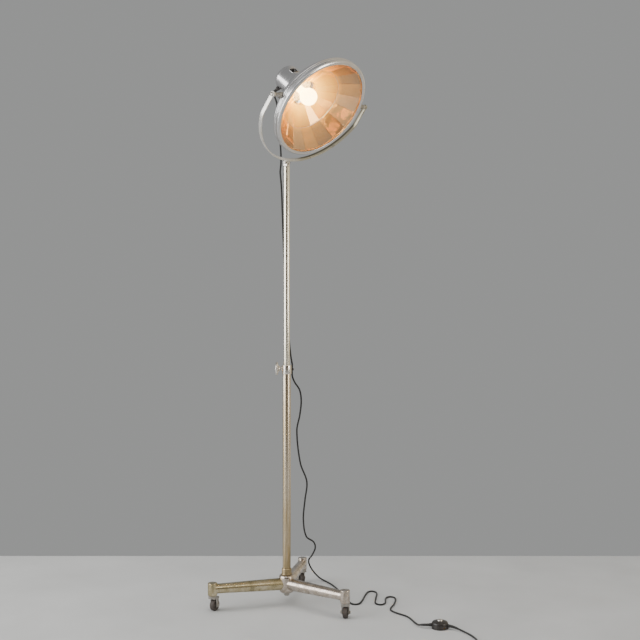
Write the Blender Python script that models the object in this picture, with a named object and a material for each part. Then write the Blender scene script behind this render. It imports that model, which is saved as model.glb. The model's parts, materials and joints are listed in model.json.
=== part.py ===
"""Surgical floor light: a three-legged rolling stand with a telescopic column, a leaning yoke and a
mirrored lamp head, with its flex, foot switch and plug. Units are metres, +Z is up."""
import math

import bmesh
import bpy
from mathutils import Matrix, Vector
from mathutils.geometry import interpolate_bezier

MM = 0.001
GAP = 0.3 * MM                      # running gap between neighbouring pieces

# Base
PIVOT_RADIUS = 0.266                # column axis to caster pivot
LEG_AZIMUTHS = {"rear": 78.9, "left": 198.9, "right": 318.9}
CASTER_HEADINGS = {"rear": 120.0, "left": 60.0, "right": 80.0}
HUB_RADIUS = 0.027
HUB_BOTTOM, HUB_TOP = 0.040, 0.104
LEG_ROOT_RADIUS, LEG_END_RADIUS = 0.0205, 0.0165
LEG_ROOT_HEIGHT, LEG_END_HEIGHT = 0.072, 0.077
BOSS_RADIUS, BOSS_BOTTOM, BOSS_TOP = 0.0165, 0.055, 0.098
WHEEL_RADIUS, WHEEL_WIDTH, CASTER_TRAIL = 0.020, 0.016, 0.012
WHEEL_SIDES = 24
STEM_RADIUS = 0.0055
SCREW_BORE = 0.0033                 # clearance round a 6 mm screw or axle

# Column
LOWER_RADIUS, LOWER_WALL = 0.014, 0.0015
LOWER_BOTTOM, LOWER_TOP = 0.062, 0.832
INNER_RADIUS, INNER_WALL = 0.01075, 0.0012
INNER_BOTTOM, INNER_TOP = 0.700, 1.5305
COLLAR_BOTTOM, COLLAR_TOP = 0.806, 0.837
COLLAR_RADIUS = 0.0165
CLAMP_HEIGHT = 0.8245
KNOB_RADIUS = 0.0235

# Yoke and head
PIVOT_HEIGHT = 1.545                # knuckle bolt above the floor
SWIVEL_HEADING = -42.5              # direction of the beam in plan, from +X
YOKE_LEAN = 38.5                    # yoke plane from the vertical
HEAD_TILT = -2.0                    # head about the trunnions, from the yoke's own direction
BAR_WIDTH, BAR_THICK, EYE_THICK = 0.015, 0.004, 0.0046
BAR_DROP = 0.0125                   # knuckle bolt to the bar's middle
BOW_RADIUS = 0.2455
ARM_HALF_SPAN = 0.233               # trunnion axis, centre to the middle of an arm
ARM_CORNER = 0.060
TRUNNION_HEIGHT = BAR_DROP + BOW_RADIUS
HEAD_BACK, HEAD_SHIFT, HEAD_DROP = 0.016, -0.010, 0.014
HEAD_PLACE = (-HEAD_BACK, HEAD_SHIFT, -HEAD_DROP)    # head's own origin from the trunnion axis

# Head, along its own axis: forward of the trunnions is positive
RIM_RADIUS = 0.1860
BEZEL_FRONT, BEZEL_BACK = 0.0500, 0.0286
OPENING = 0.1715                    # radius of the bezel's opening and of the mirrors' mouth
GLASS_RADIUS = 0.1805
BEAD_OUTER, BEAD_REAR = (0.1848, 0.0222), (0.1823, 0.0190)    # the shell's rolled edge
GLASS_FRONT, GLASS_BACK = 0.0465, 0.0425
SHELL_WALL = 0.0015
CAP_RADIUS, CAP_FRONT, CAP_BACK = 0.0465, -0.0840, -0.1760
CAP_CORNER, CAP_WALL = 0.018, 0.0013
VENT_BACK, VENT_FRONT, VENT_HALF = -0.1450, -0.1200, 0.0135
VENT_TURN = 18.0                    # degrees from straight up; the other vent is opposite
FACETS = 18
HEAD_SIDES = 40
GLAND_BACK = -0.152                 # gland's place along the axis
GLAND_TURN = 31.0                   # degrees from straight down towards the -Y trunnion
GLAND_REACH = 0.0110                # how far the gland stands off the cap

# Flex
CORD_RADIUS = 0.003
FLOOR_LINE = CORD_RADIUS + 0.2 * MM  # middle of a flex that lies on the floor
SWITCH_PLACE = (0.509, -0.274)
SWITCH_RADIUS = 0.0275
SWITCH_WAYS = {"in": 180, "out": -25}    # headings of its two grommets
FLEX_HEIGHT = 0.0115                # middle of the grommets above the floor
GROMMET_REACH = 0.0110
PLUG_FROM_COIL = (0.0655, -0.0150)
COIL_PLACE = (0.640, -0.530)
COIL_MID_RADIUS = 0.034
COIL_HALF_WIDTH, COIL_HEIGHT = 0.0115, 0.0240
PLUG_LENGTH, PLUG_RADIUS = 0.046, 0.016


def material(name, colour, roughness, metallic):
    found = bpy.data.materials.get(name)
    if found:
        return found
    made = bpy.data.materials.new(name)
    made.use_nodes = True
    shader = made.node_tree.nodes["Principled BSDF"]
    shader.inputs["Base Color"].default_value = (*colour, 1.0)
    shader.inputs["Roughness"].default_value = roughness
    shader.inputs["Metallic"].default_value = metallic
    return made


NICKEL = material("nickel", (0.78, 0.74, 0.68), 0.22, 1.0)
OLD_NICKEL = material("old_nickel", (0.55, 0.48, 0.38), 0.38, 1.0)
ALUMINIUM = material("aluminium", (0.72, 0.72, 0.71), 0.35, 1.0)
MIRROR = material("mirror", (0.92, 0.88, 0.82), 0.04, 1.0)
GLASS = material("glass", (0.95, 0.97, 0.97), 0.02, 0.0)
BULB_GLASS = material("bulb_glass", (1.0, 0.93, 0.75), 0.1, 0.0)
BRASS = material("brass", (0.66, 0.52, 0.28), 0.35, 1.0)
STEEL = material("steel", (0.50, 0.49, 0.47), 0.4, 1.0)
PORCELAIN = material("porcelain", (0.86, 0.84, 0.78), 0.3, 0.0)
TYRE = material("wheel_rubber", (0.07, 0.06, 0.055), 0.7, 0.0)
BLACK = material("black_plastic", (0.03, 0.028, 0.026), 0.35, 0.0)
RUBBER = material("rubber", (0.04, 0.04, 0.04), 0.75, 0.0)
BRAID = material("cotton_braid", (0.025, 0.024, 0.023), 0.85, 0.0)


def clear_scene():
    for item in list(bpy.data.objects):
        bpy.data.objects.remove(item, do_unlink=True)


def empty(name, parent=None, place=(0, 0, 0), turn=(0, 0, 0)):
    made = bpy.data.objects.new(name, None)
    bpy.context.collection.objects.link(made)
    made.parent = parent
    made.location = place
    made.rotation_euler = [math.radians(angle) for angle in turn]
    return made


def add(name, mesh_data, finish, parent, place=(0, 0, 0), turn=(0, 0, 0), smooth=35):
    made = bpy.data.objects.new(name, mesh_data)
    bpy.context.collection.objects.link(made)
    made.parent = parent
    made.location = place
    made.rotation_euler = [math.radians(angle) for angle in turn]
    made.data.materials.append(finish)
    if smooth:
        made.data.shade_smooth()
        made.data.set_sharp_from_angle(angle=math.radians(smooth))
    return made


def mesh_from(bm, name):
    bmesh.ops.recalc_face_normals(bm, faces=bm.faces)
    made = bpy.data.meshes.new(name)
    bm.to_mesh(made)
    bm.free()
    return made


def turned_mesh(name, outline, sides=20, along="Z", phase=0.0):
    """A solid of revolution. The outline is (radius, height) points; radius 0 is a pole."""
    bm = bmesh.new()
    rings = []
    for radius, height in outline:
        if radius <= 0:
            rings.append([bm.verts.new((0, 0, height))])
            continue
        ring = []
        for step in range(sides):
            angle = phase + math.tau * step / sides
            ring.append(bm.verts.new((radius * math.cos(angle), radius * math.sin(angle), height)))
        rings.append(ring)
    closed = len(rings[0]) > 1
    pairs = list(zip(rings, rings[1:]))
    if closed:
        pairs.append((rings[-1], rings[0]))
    for lower, upper in pairs:
        for step in range(sides):
            after = (step + 1) % sides
            if len(lower) == 1 and len(upper) == 1:
                break
            if len(lower) == 1:
                bm.faces.new((lower[0], upper[after], upper[step]))
            elif len(upper) == 1:
                bm.faces.new((lower[step], lower[after], upper[0]))
            else:
                bm.faces.new((lower[step], lower[after], upper[after], upper[step]))
    if along == "X":
        bmesh.ops.rotate(bm, verts=bm.verts, matrix=Matrix.Rotation(math.radians(90), 3, "Y"))
    if along == "Y":
        bmesh.ops.rotate(bm, verts=bm.verts, matrix=Matrix.Rotation(math.radians(-90), 3, "X"))
    return mesh_from(bm, name)


def turned(name, outline, finish, parent, sides=20, along="Z", phase=0.0, **where):
    return add(name, turned_mesh(name, outline, sides, along, phase), finish, parent, **where)


def rod(name, radius, low, high, finish, parent, chamfer=0.0006, **more):
    """A plain round bar with a small chamfer at both ends."""
    outline = [(0, low), (radius - chamfer, low), (radius, low + chamfer),
               (radius, high - chamfer), (radius - chamfer, high), (0, high)]
    return turned(name, outline, finish, parent, **more)


def drill(target, name, radius, low, high, parent, sides=18, **more):
    """Bore a round hole. Its corners are turned off the other pieces' corners."""
    tool = rod(name, radius, low, high, STEEL, parent, chamfer=0.00001, sides=sides, phase=0.13, **more)
    return combine(target, tool, "DIFFERENCE")


def sleeve(name, inner, outer, low, high, finish, parent, chamfer=0.0005, **more):
    """A ring or a tube, chamfered outside."""
    outline = [(inner, low), (outer - chamfer, low), (outer, low + chamfer),
               (outer, high - chamfer), (outer - chamfer, high), (inner, high)]
    return turned(name, outline, finish, parent, **more)


def box_mesh(name, low, high, bevel=0.0, segments=1):
    bm = bmesh.new()
    bmesh.ops.create_cube(bm, size=1.0)
    for vert in bm.verts:
        vert.co = Vector(low[axis] + (vert.co[axis] + 0.5) * (high[axis] - low[axis])
                         for axis in range(3))
    if bevel:
        bmesh.ops.bevel(bm, geom=list(bm.edges), offset=bevel, segments=segments,
                        profile=0.5, affect="EDGES")
    return mesh_from(bm, name)


def combine(target, tool, operation):
    """Join, cut or trim with a hidden tool object."""
    modifier = target.modifiers.new(operation.lower(), "BOOLEAN")
    modifier.operation = operation
    modifier.solver = "EXACT"
    modifier.object = tool
    tool.hide_render = True
    tool.display_type = "WIRE"
    return target


def arc_points(centre, radius, start, end, steps):
    """Points (x, y) on an arc, in degrees, both ends kept."""
    points = []
    for step in range(steps + 1):
        angle = math.radians(start + (end - start) * step / steps)
        points.append((centre[0] + radius * math.cos(angle), centre[1] + radius * math.sin(angle)))
    return points


def smooth_route(points, spacing):
    """Evenly spaced points on a smooth curve through the route's own points."""
    route = [Vector(point) for point in points]
    dense = []
    for index in range(len(route) - 1):
        before = route[max(index - 1, 0)]
        here, there = route[index], route[index + 1]
        after = route[min(index + 2, len(route) - 1)]
        span = (there - here).length
        leave = (there - before).normalized() * span / 3
        arrive = (after - here).normalized() * span / 3
        piece = interpolate_bezier(here, here + leave, there - arrive, there, 16)
        dense += piece[:-1]
    dense.append(route[-1])
    lengths = [0.0]
    for first, second in zip(dense, dense[1:]):
        lengths.append(lengths[-1] + (second - first).length)
    count = max(2, round(lengths[-1] / spacing))
    even, index = [], 0
    for step in range(count + 1):
        want = lengths[-1] * step / count
        while index < len(dense) - 2 and lengths[index + 1] < want:
            index += 1
        part = (want - lengths[index]) / max(lengths[index + 1] - lengths[index], 1e-9)
        even.append(dense[index].lerp(dense[index + 1], min(max(part, 0.0), 1.0)))
    return even


def cord(name, points, parent, spacing=12 * CORD_RADIUS):
    """A plain flex: a bevelled curve through evenly spaced points."""
    path = smooth_route(points, spacing)
    curve = bpy.data.curves.new(name, "CURVE")
    curve.dimensions = "3D"
    curve.bevel_depth = CORD_RADIUS
    curve.bevel_resolution = 2
    curve.use_fill_caps = True
    spline = curve.splines.new("POLY")
    spline.points.add(len(path) - 1)
    for target, place in zip(spline.points, path):
        target.co = (place.x, place.y, max(place.z, FLOOR_LINE), 1.0)
    made = bpy.data.objects.new(name, curve)
    bpy.context.collection.objects.link(made)
    made.parent = parent
    curve.materials.append(BRAID)
    return made


# ---------------------------------------------------------------- base and casters

def build_hub(stand):
    hub = turned("base_hub", [
        (LOWER_RADIUS + GAP, HUB_TOP), (LOWER_RADIUS + GAP, LOWER_BOTTOM - GAP),
        (0.0058, LOWER_BOTTOM - GAP), (0.0058, HUB_BOTTOM), (0.0150, HUB_BOTTOM),
        (0.0225, HUB_BOTTOM + 0.004), (HUB_RADIUS, HUB_BOTTOM + 0.011),
        (HUB_RADIUS, HUB_TOP - 0.008), (0.0255, HUB_TOP - 0.003), (0.0225, HUB_TOP),
    ], OLD_NICKEL, stand, sides=32)
    sleeve("column_foot_collar", LOWER_RADIUS + GAP, 0.0170, HUB_TOP + GAP, 0.1270, OLD_NICKEL,
           stand, chamfer=0.0020)
    turned("column_foot_plug", [
        (0.0046, LOWER_BOTTOM + 0.002), (0.0119, LOWER_BOTTOM + 0.002), (0.0119, 0.092),
        (0.0046, 0.092)], STEEL, stand, sides=20)
    turned("column_bolt", [
        (0, 0.0310), (0.0080, 0.0310), (0.0092, 0.0325), (0.0092, 0.0396), (0.0043, 0.0396),
        (0.0043, 0.0880), (0, 0.0880)], STEEL, stand, sides=6)
    return hub


def build_leg(name, azimuth, stand):
    """A tapered round arm with an upright boss at its end, bored for the caster stem."""
    frame = empty(f"{name}_frame", stand, turn=(0, 0, azimuth))
    length = PIVOT_RADIUS
    rise = math.degrees(math.atan2(LEG_END_HEIGHT - LEG_ROOT_HEIGHT, length))
    leg = turned(name, [
        (0, 0.010), (LEG_ROOT_RADIUS, 0.010), (LEG_ROOT_RADIUS, 0.045),
        (LEG_END_RADIUS, length - 0.010), (LEG_END_RADIUS * 0.86, length + 0.004), (0, length + 0.010),
    ], OLD_NICKEL, frame, sides=20, along="X", place=(0, 0, LEG_ROOT_HEIGHT), turn=(0, -rise, 0))
    boss = turned(f"{name}_boss_tool", [
        (0, BOSS_BOTTOM), (BOSS_RADIUS - 0.001, BOSS_BOTTOM), (BOSS_RADIUS, BOSS_BOTTOM + 0.001),
        (BOSS_RADIUS, BOSS_TOP - 0.003), (BOSS_RADIUS - 0.003, BOSS_TOP), (0, BOSS_TOP),
    ], OLD_NICKEL, frame, sides=20, place=(length, 0, 0))
    combine(leg, boss, "UNION")
    drill(leg, f"{name}_bore_tool", STEM_RADIUS + GAP, BOSS_BOTTOM - 0.010, BOSS_TOP - 0.008, frame,
          place=(length, 0, 0))
    drill(leg, f"{name}_socket_tool", HUB_RADIUS + 2 * GAP, 0.0, 0.140, frame, sides=48)
    return frame


def build_caster(side, leg_frame):
    """Stem and fork swivel about the boss; the wheel turns on its axle behind it."""
    swivel = empty(f"caster_{side}_swivel", leg_frame, place=(PIVOT_RADIUS, 0, 0),
                   turn=(0, 0, CASTER_HEADINGS[side] - LEG_AZIMUTHS[side]))
    crown_top = BOSS_BOTTOM - GAP
    stem = turned(f"caster_{side}_stem_tool", [
        (0, crown_top - 0.0080), (0.0130, crown_top - 0.0080), (0.0145, crown_top - 0.0040),
        (0.0145, crown_top - 0.0006), (0.0139, crown_top), (STEM_RADIUS, crown_top),
        (STEM_RADIUS, BOSS_TOP - 0.010), (0, BOSS_TOP - 0.010),
    ], STEEL, swivel, sides=20)
    fork = add(f"caster_{side}_fork", box_mesh("fork", (-0.008, -0.0135, 0.0430),
               (CASTER_TRAIL + 0.009, 0.0135, crown_top - 0.0055), 0.0008), STEEL, swivel)
    for hand in (-1, 1):
        near, far = sorted((hand * 0.0105, hand * 0.0132))
        cheek = add(f"caster_{side}_cheek_tool", box_mesh(
            "cheek", (CASTER_TRAIL - 0.0065, near, 0.0130), (CASTER_TRAIL + 0.0065, far, 0.0460),
            0.0006), STEEL, swivel)
        combine(fork, cheek, "UNION")
    combine(fork, stem, "UNION")
    drill(fork, f"caster_{side}_axle_tool", SCREW_BORE, -0.020, 0.020, swivel, along="Y",
          place=(CASTER_TRAIL, 0, WHEEL_RADIUS))
    turned(f"caster_{side}_axle", [
        (0, -0.0170), (0.0050, -0.0170), (0.0055, -0.0165), (0.0055, -0.0135), (0.0030, -0.0135),
        (0.0030, 0.0135), (0.0055, 0.0135), (0.0055, 0.0165), (0.0050, 0.0170), (0, 0.0170),
    ], STEEL, swivel, sides=12, along="Y", place=(CASTER_TRAIL, 0, WHEEL_RADIUS))
    half = WHEEL_WIDTH / 2
    to_corner = 1 / math.cos(math.pi / WHEEL_SIDES)
    wheel = empty(f"caster_{side}_axle_line", swivel, place=(CASTER_TRAIL, 0, WHEEL_RADIUS))
    turned(f"caster_{side}_wheel", [
        (0.0034, -half), ((WHEEL_RADIUS - 0.002) * to_corner, -half),
        (WHEEL_RADIUS * to_corner, -half + 0.002), (WHEEL_RADIUS * to_corner, half - 0.002),
        ((WHEEL_RADIUS - 0.002) * to_corner, half), (0.0034, half),
    ], TYRE, wheel, sides=WHEEL_SIDES, along="Y", phase=math.pi / WHEEL_SIDES)


# ---------------------------------------------------------------- column

def build_column(stand):
    inside = LOWER_RADIUS - LOWER_WALL
    tube = sleeve("lower_tube", inside, LOWER_RADIUS, LOWER_BOTTOM, LOWER_TOP, OLD_NICKEL, stand)
    bush = sleeve("guide_bush", INNER_RADIUS + 0.05 * MM, inside - GAP, LOWER_TOP - 0.028,
                  LOWER_TOP - 0.001, BRASS, stand)
    collar = turned("clamp_collar", [
        (LOWER_RADIUS + GAP, COLLAR_BOTTOM), (COLLAR_RADIUS - 0.001, COLLAR_BOTTOM),
        (COLLAR_RADIUS, COLLAR_BOTTOM + 0.001), (COLLAR_RADIUS, COLLAR_TOP - 0.002),
        (COLLAR_RADIUS - 0.002, COLLAR_TOP), (INNER_RADIUS + GAP, COLLAR_TOP),
        (INNER_RADIUS + GAP, LOWER_TOP + GAP), (LOWER_RADIUS + GAP, LOWER_TOP + GAP),
    ], NICKEL, stand, sides=32)
    boss = rod("clamp_boss_tool", 0.0075, 0.0155, 0.0200, NICKEL, stand, sides=20, along="X",
               place=(0, 0, CLAMP_HEIGHT), turn=(0, 0, 180))
    combine(collar, boss, "UNION")
    for target in (collar, tube, bush):
        drill(target, f"{target.name}_bore_tool", SCREW_BORE, 0.0090, 0.0300, stand, along="X",
              place=(0, 0, CLAMP_HEIGHT), turn=(0, 0, 180))
    build_clamp(stand)
    slide = empty("inner_column", stand)
    bore_radius = INNER_RADIUS - INNER_WALL
    sleeve("inner_tube", bore_radius, INNER_RADIUS, INNER_BOTTOM, INNER_TOP, NICKEL, slide)
    turned("inner_tube_foot", [
        (0, INNER_BOTTOM - 0.006), (0.0110, INNER_BOTTOM - 0.006), (0.0119, INNER_BOTTOM - 0.005),
        (0.0119, INNER_BOTTOM - GAP), (bore_radius - GAP, INNER_BOTTOM - GAP),
        (bore_radius - GAP, INNER_BOTTOM + 0.016), (0, INNER_BOTTOM + 0.016),
    ], BRASS, slide, sides=20)
    sleeve("swivel_bush", 0.0070 + GAP, bore_radius - GAP, INNER_TOP - 0.032, INNER_TOP - 0.0005, BRASS,
           slide, sides=20)
    return slide


def build_clamp(stand):
    """The thumb screw turns about a level axis that points left from the column."""
    line = empty("clamp_line", stand, place=(0, 0, CLAMP_HEIGHT), turn=(0, 0, 180))
    rod("clamp_screw", 0.0030, INNER_RADIUS + GAP, 0.0345, STEEL, line, sides=20, along="X")
    turned("clamp_knob", [
        (0.0033, 0.0222), (0.0070, 0.0222), (0.0085, 0.0262), (0.0120, 0.0290),
        (0.0215, 0.0312), (KNOB_RADIUS, 0.0330), (KNOB_RADIUS, 0.0370), (0.0225, 0.0385),
        (0.0200, 0.0385), (0.0170, 0.0365), (0, 0.0360), (0, 0.0350), (0.0033, 0.0350),
    ], NICKEL, line, sides=32, along="X")


# ---------------------------------------------------------------- swivel and yoke

def build_swivel(slide):
    """A spigot in the column's top that carries a slotted knuckle for the yoke's lug."""
    swivel = empty("swivel_head_axis", slide, place=(0, 0, PIVOT_HEIGHT), turn=(0, 0, SWIVEL_HEADING))
    drop = INNER_TOP - PIVOT_HEIGHT
    head = turned("swivel_head", [
        (0, drop - 0.034), (0.0070, drop - 0.034), (0.0070, drop + GAP), (0.0105, drop + GAP),
        (0.0105, drop + 0.0025), (0.0085, drop + 0.0040), (0.0085, drop + 0.0060), (0, drop + 0.0060),
    ], NICKEL, swivel, sides=20)
    block = rod("knuckle_tool", 0.0080, -0.0080, 0.0080, NICKEL, swivel, sides=20, along="Y")
    combine(head, block, "UNION")
    neck = add("knuckle_neck_tool", box_mesh("neck", (-0.0075, -0.0078, drop + 0.0010),
               (0.0075, 0.0078, 0.0010), 0.0005), NICKEL, swivel)
    combine(head, neck, "UNION")
    slot = add("knuckle_slot_tool", box_mesh("slot", (-0.0200, -0.0030, -0.0088),
               (0.0200, 0.0030, 0.0200)), NICKEL, swivel, smooth=0)
    combine(head, slot, "DIFFERENCE")
    drill(head, "knuckle_bore_tool", SCREW_BORE, -0.02, 0.02, swivel, along="Y")
    turned("knuckle_bolt", [
        (0, -0.0125), (0.0048, -0.0125), (0.0055, -0.0118), (0.0055, -0.0083), (0.0030, -0.0083),
        (0.0030, 0.0130), (0, 0.0130)], STEEL, swivel, sides=12, along="Y")
    turned("knuckle_nut", [
        (0.0039, 0.0083), (0.0062, 0.0083), (0.0062, 0.0125), (0.0055, 0.0130), (0.0039, 0.0130),
    ], STEEL, swivel, sides=6, along="Y")
    return swivel


def yoke_outline():
    """The bow's centre line in its own plane, from the -Y arm to the +Y arm, as (y, z)."""
    centre = TRUNNION_HEIGHT
    inset = ARM_HALF_SPAN - ARM_CORNER
    drop = math.sqrt((BOW_RADIUS - ARM_CORNER) ** 2 - inset ** 2)
    meet = math.degrees(math.atan2(drop, inset))
    bow = arc_points((0, centre), BOW_RADIUS, 270, 360 - meet, 18)
    corner = arc_points((inset, centre - drop), ARM_CORNER, -meet, 0, 5)
    half = bow + corner[1:] + [(ARM_HALF_SPAN, centre + 0.0013)]
    return [(-y, z) for y, z in reversed(half)] + half[1:]


def build_yoke(swivel):
    """A flat bar bent to a bow, round-ended at the trunnions, with a lug under its middle."""
    yoke = empty("yoke_axis", swivel, turn=(0, YOKE_LEAN, 0))
    line = [Vector((0, y, z)) for y, z in yoke_outline()]
    bm = bmesh.new()
    across = Vector((1, 0, 0))
    sections = []
    for index, point in enumerate(line):
        tangent = (line[min(index + 1, len(line) - 1)] - line[max(index - 1, 0)]).normalized()
        outward = tangent.cross(across)
        corners = []
        for side, depth in ((-1, -1), (1, -1), (1, 1), (-1, 1)):
            offset = across * side * BAR_WIDTH / 2 + outward * depth * BAR_THICK / 2
            corners.append(bm.verts.new(point + offset))
        sections.append(corners)
    for first, second in zip(sections, sections[1:]):
        for corner in range(4):
            after = (corner + 1) % 4
            bm.faces.new((first[corner], first[after], second[after], second[corner]))
    bm.faces.new(sections[0][::-1])
    bm.faces.new(sections[-1])
    bow = add("yoke_bow", mesh_from(bm, "bow"), NICKEL, yoke)
    for hand in (-1, 1):
        near, far = sorted((hand * (ARM_HALF_SPAN - EYE_THICK / 2),
                            hand * (ARM_HALF_SPAN + EYE_THICK / 2)))
        eye = rod(f"yoke_eye_tool_{hand + 1}", 0.0090, near, far, NICKEL, yoke, sides=20, along="Y",
                  place=(0, 0, TRUNNION_HEIGHT))
        combine(bow, eye, "UNION")
        drill(bow, f"yoke_eye_bore_tool_{hand + 1}", 0.0040, near - 0.01, far + 0.01, yoke,
              along="Y", place=(0, 0, TRUNNION_HEIGHT))
    lug = add("yoke_lug_tool", box_mesh("lug", (-0.0058, -0.0025, 0), (0.0058, 0.0025,
              BAR_DROP)), NICKEL, yoke, smooth=0)
    combine(bow, lug, "UNION")
    lug_end = rod("yoke_lug_end_tool", 0.0060, -0.0027, 0.0027, NICKEL, yoke, chamfer=0, sides=20,
                  along="Y")
    combine(bow, lug_end, "UNION")
    drill(bow, "yoke_lug_bore_tool", SCREW_BORE, -0.02, 0.02, yoke, along="Y")
    return yoke


def build_trunnions(yoke, head):
    """Shoulder screws through the eyes, with a nut and a spacer that carry each bracket."""
    outer = ARM_HALF_SPAN + EYE_THICK / 2
    for name, hand in (("left", -1), ("right", 1)):
        turn = (0, 0, 0) if hand > 0 else (0, 0, 180)
        line = empty(f"trunnion_{name}_line", yoke, place=(0, 0, TRUNNION_HEIGHT), turn=turn)
        turned(f"trunnion_{name}_screw", [
            (0, 0.2010), (0.0037, 0.2010), (0.0037, outer + GAP), (0.0068, outer + GAP),
            (0.0072, outer + 0.0008), (0.0066, outer + 0.0030), (0.0040, outer + 0.0042),
            (0, outer + 0.0045)], STEEL, line, sides=20, along="Y")
        sleeve(f"trunnion_{name}_nut", 0.0046, 0.0080, 0.2235, ARM_HALF_SPAN - EYE_THICK / 2 - GAP,
               NICKEL, line, sides=6, along="Y", smooth=0)
        spin = empty(f"trunnion_{name}_head_line", head, place=(0, 0, 0), turn=turn)
        shift = HEAD_SHIFT * hand
        bracket = turned(f"trunnion_{name}_bracket", [
            (0.0040, 0.1500), (0.0110, 0.1500), (0.0110, 0.1890 + shift), (0.0075, 0.1960 + shift),
            (0.0075, 0.2230), (0.0040, 0.2230)], STEEL, spin, sides=20, along="Y")
        room = [(RIM_RADIUS + GAP, BEZEL_FRONT + 0.0100), (RIM_RADIUS + GAP, BEZEL_BACK - GAP),
                (BEAD_OUTER[0] + GAP, BEAD_OUTER[1]), (BEAD_REAR[0] + GAP, BEAD_REAR[1] - GAP)]
        room += [(radius + GAP, along) for radius, along in shell_line()]
        clear = head_turned(f"trunnion_{name}_clear_tool",
                            [(0, room[0][1])] + room + [(0, room[-1][1])], STEEL, head)
        combine(bracket, clear, "DIFFERENCE")


# ---------------------------------------------------------------- lamp head

def shell_line():
    """The spun shell's side, front to back, as (radius, place along the axis)."""
    front = Vector((0.1755, 0.0180))
    back = Vector((0.0560, -0.0780))
    handle = [front, front + Vector((-0.014, -0.030)), back + Vector((0.052, 0.026)), back]
    side = interpolate_bezier(*[point.to_3d() for point in handle], 6)
    return [(point.x, point.y) for point in side]


def head_turned(name, outline, finish, head, sides=HEAD_SIDES, **more):
    """A piece turned about the head's own axis, forward along +X."""
    return turned(name, outline, finish, head, sides=sides, along="X",
                  place=HEAD_PLACE, **more)


def build_shell(head):
    outside = shell_line()
    outline = [(GLASS_RADIUS, 0.0283), (0.1840, 0.0275), BEAD_OUTER, BEAD_REAR]
    outline += outside
    outline += [(0.0485, -0.0840), (0.0485, -0.0980), (0.0470, -0.0980), (0.0470, -0.0832)]
    outline += [(radius - SHELL_WALL, along) for radius, along in reversed(outside)]
    outline += [(0.1790, 0.0200), (0.1790, 0.0283)]
    head_turned("head_shell", outline, ALUMINIUM, head)
    head_turned("bezel_ring", [
        (GLASS_RADIUS + GAP, BEZEL_BACK), (RIM_RADIUS - 0.0012, BEZEL_BACK),
        (RIM_RADIUS, BEZEL_BACK + 0.0020), (RIM_RADIUS, BEZEL_FRONT - 0.0050),
        (RIM_RADIUS - 0.0050, BEZEL_FRONT),
        (OPENING, BEZEL_FRONT), (OPENING, GLASS_FRONT + GAP), (GLASS_RADIUS + GAP, GLASS_FRONT + GAP),
    ], ALUMINIUM, head)
    head_turned("front_glass", [
        (0, GLASS_BACK), (GLASS_RADIUS, GLASS_BACK), (GLASS_RADIUS, GLASS_FRONT), (0, GLASS_FRONT)],
        GLASS, head)
    head_turned("glass_gasket", [
        (OPENING, 0.0395), (0.1800, 0.0395), (0.1800, GLASS_BACK - GAP),
        (OPENING, GLASS_BACK - GAP)], RUBBER, head)


def build_reflector(head):
    """Two rings of flat mirrors: each is a turned band with one flat for every mirror."""
    wall = 0.0022
    for name, front, back in (
            ("reflector_front_mirrors", (OPENING, 0.0388), (0.1150, -0.0145)),
            ("reflector_rear_mirrors", (0.1135, -0.0165), (0.0480, -0.0560))):
        head_turned(name, [front, back, (back[0] + 0.3 * wall, back[1] - wall),
                           (front[0] + wall, front[1] - 0.3 * wall)],
                    MIRROR, head, sides=FACETS, smooth=0, phase=math.pi / FACETS)


def build_lamp(head):
    """The rear cap with its lamp holder, and the lamp itself."""
    middle, centre = CAP_BACK + CAP_CORNER, CAP_RADIUS - CAP_CORNER
    corner = [(centre + x, middle + y) for x, y in arc_points((0, 0), CAP_CORNER, 0, -90, 4)]
    hollow = [(centre + x, middle + y)
              for x, y in arc_points((0, 0), CAP_CORNER - CAP_WALL, -90, 0, 4)]
    cap = head_turned("rear_cap", [(CAP_RADIUS - CAP_WALL, CAP_FRONT), (CAP_RADIUS, CAP_FRONT)]
                      + corner + [(0, CAP_BACK), (0, CAP_BACK + CAP_WALL)] + hollow, ALUMINIUM,
                      head, sides=32)
    for number, turn in enumerate((VENT_TURN, VENT_TURN + 180)):
        vent = add(f"cap_vent_tool_{number}", box_mesh(
            "vent", (VENT_BACK, -VENT_HALF, 0.030), (VENT_FRONT, VENT_HALF, 0.060)),
            ALUMINIUM, head, place=HEAD_PLACE, turn=(turn, 0, 0), smooth=0)
        combine(cap, vent, "DIFFERENCE")
    gland = empty("gland_line", head, place=(GLAND_BACK - HEAD_BACK, HEAD_SHIFT, -HEAD_DROP),
                  turn=(180 - GLAND_TURN, 0, 0))
    drill(cap, "gland_bore_tool", 0.0055, 0.030, 0.060, gland)
    turned("cord_gland", [
        (0.0034, 0.0440), (0.0052, 0.0440), (0.0052, CAP_RADIUS + 0.0006),
        (0.0080, CAP_RADIUS + 0.0008), (0.0080, CAP_RADIUS + 0.0048), (0.0062, CAP_RADIUS + 0.0058),
        (0.0050, CAP_RADIUS + GLAND_REACH), (0.0034, CAP_RADIUS + GLAND_REACH)], BLACK, gland, sides=20)
    head_turned("lamp_holder", [
        (0, -0.1330), (0.0145, -0.1330), (0.0200, -0.1300), (0.0200, -0.1035), (0.0448, -0.1035),
        (0.0448, -0.1010), (0.0146, -0.1010), (0.0146, -0.1240), (0, -0.1240)], PORCELAIN, head,
        sides=32)
    head_turned("lamp_screw_cap", [
        (0, -0.1236), (0.0060, -0.1236), (0.0100, -0.1215), (0.0133, -0.1180), (0.0133, -0.0965),
        (0, -0.0965)], BRASS, head, sides=20)
    globe = arc_points((0, -0.0340), 0.0300, 90, -55, 9)
    neck = [(0.0142, -0.0690), (0.0125, -0.0800), (0.0125, -0.0962)]
    head_turned("lamp_glass", [(0, -0.0040)] + globe[1:] + neck + [(0, -0.0962)], BULB_GLASS,
                head, sides=20)
    return gland


# ---------------------------------------------------------------- flex, switch and plug

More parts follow.
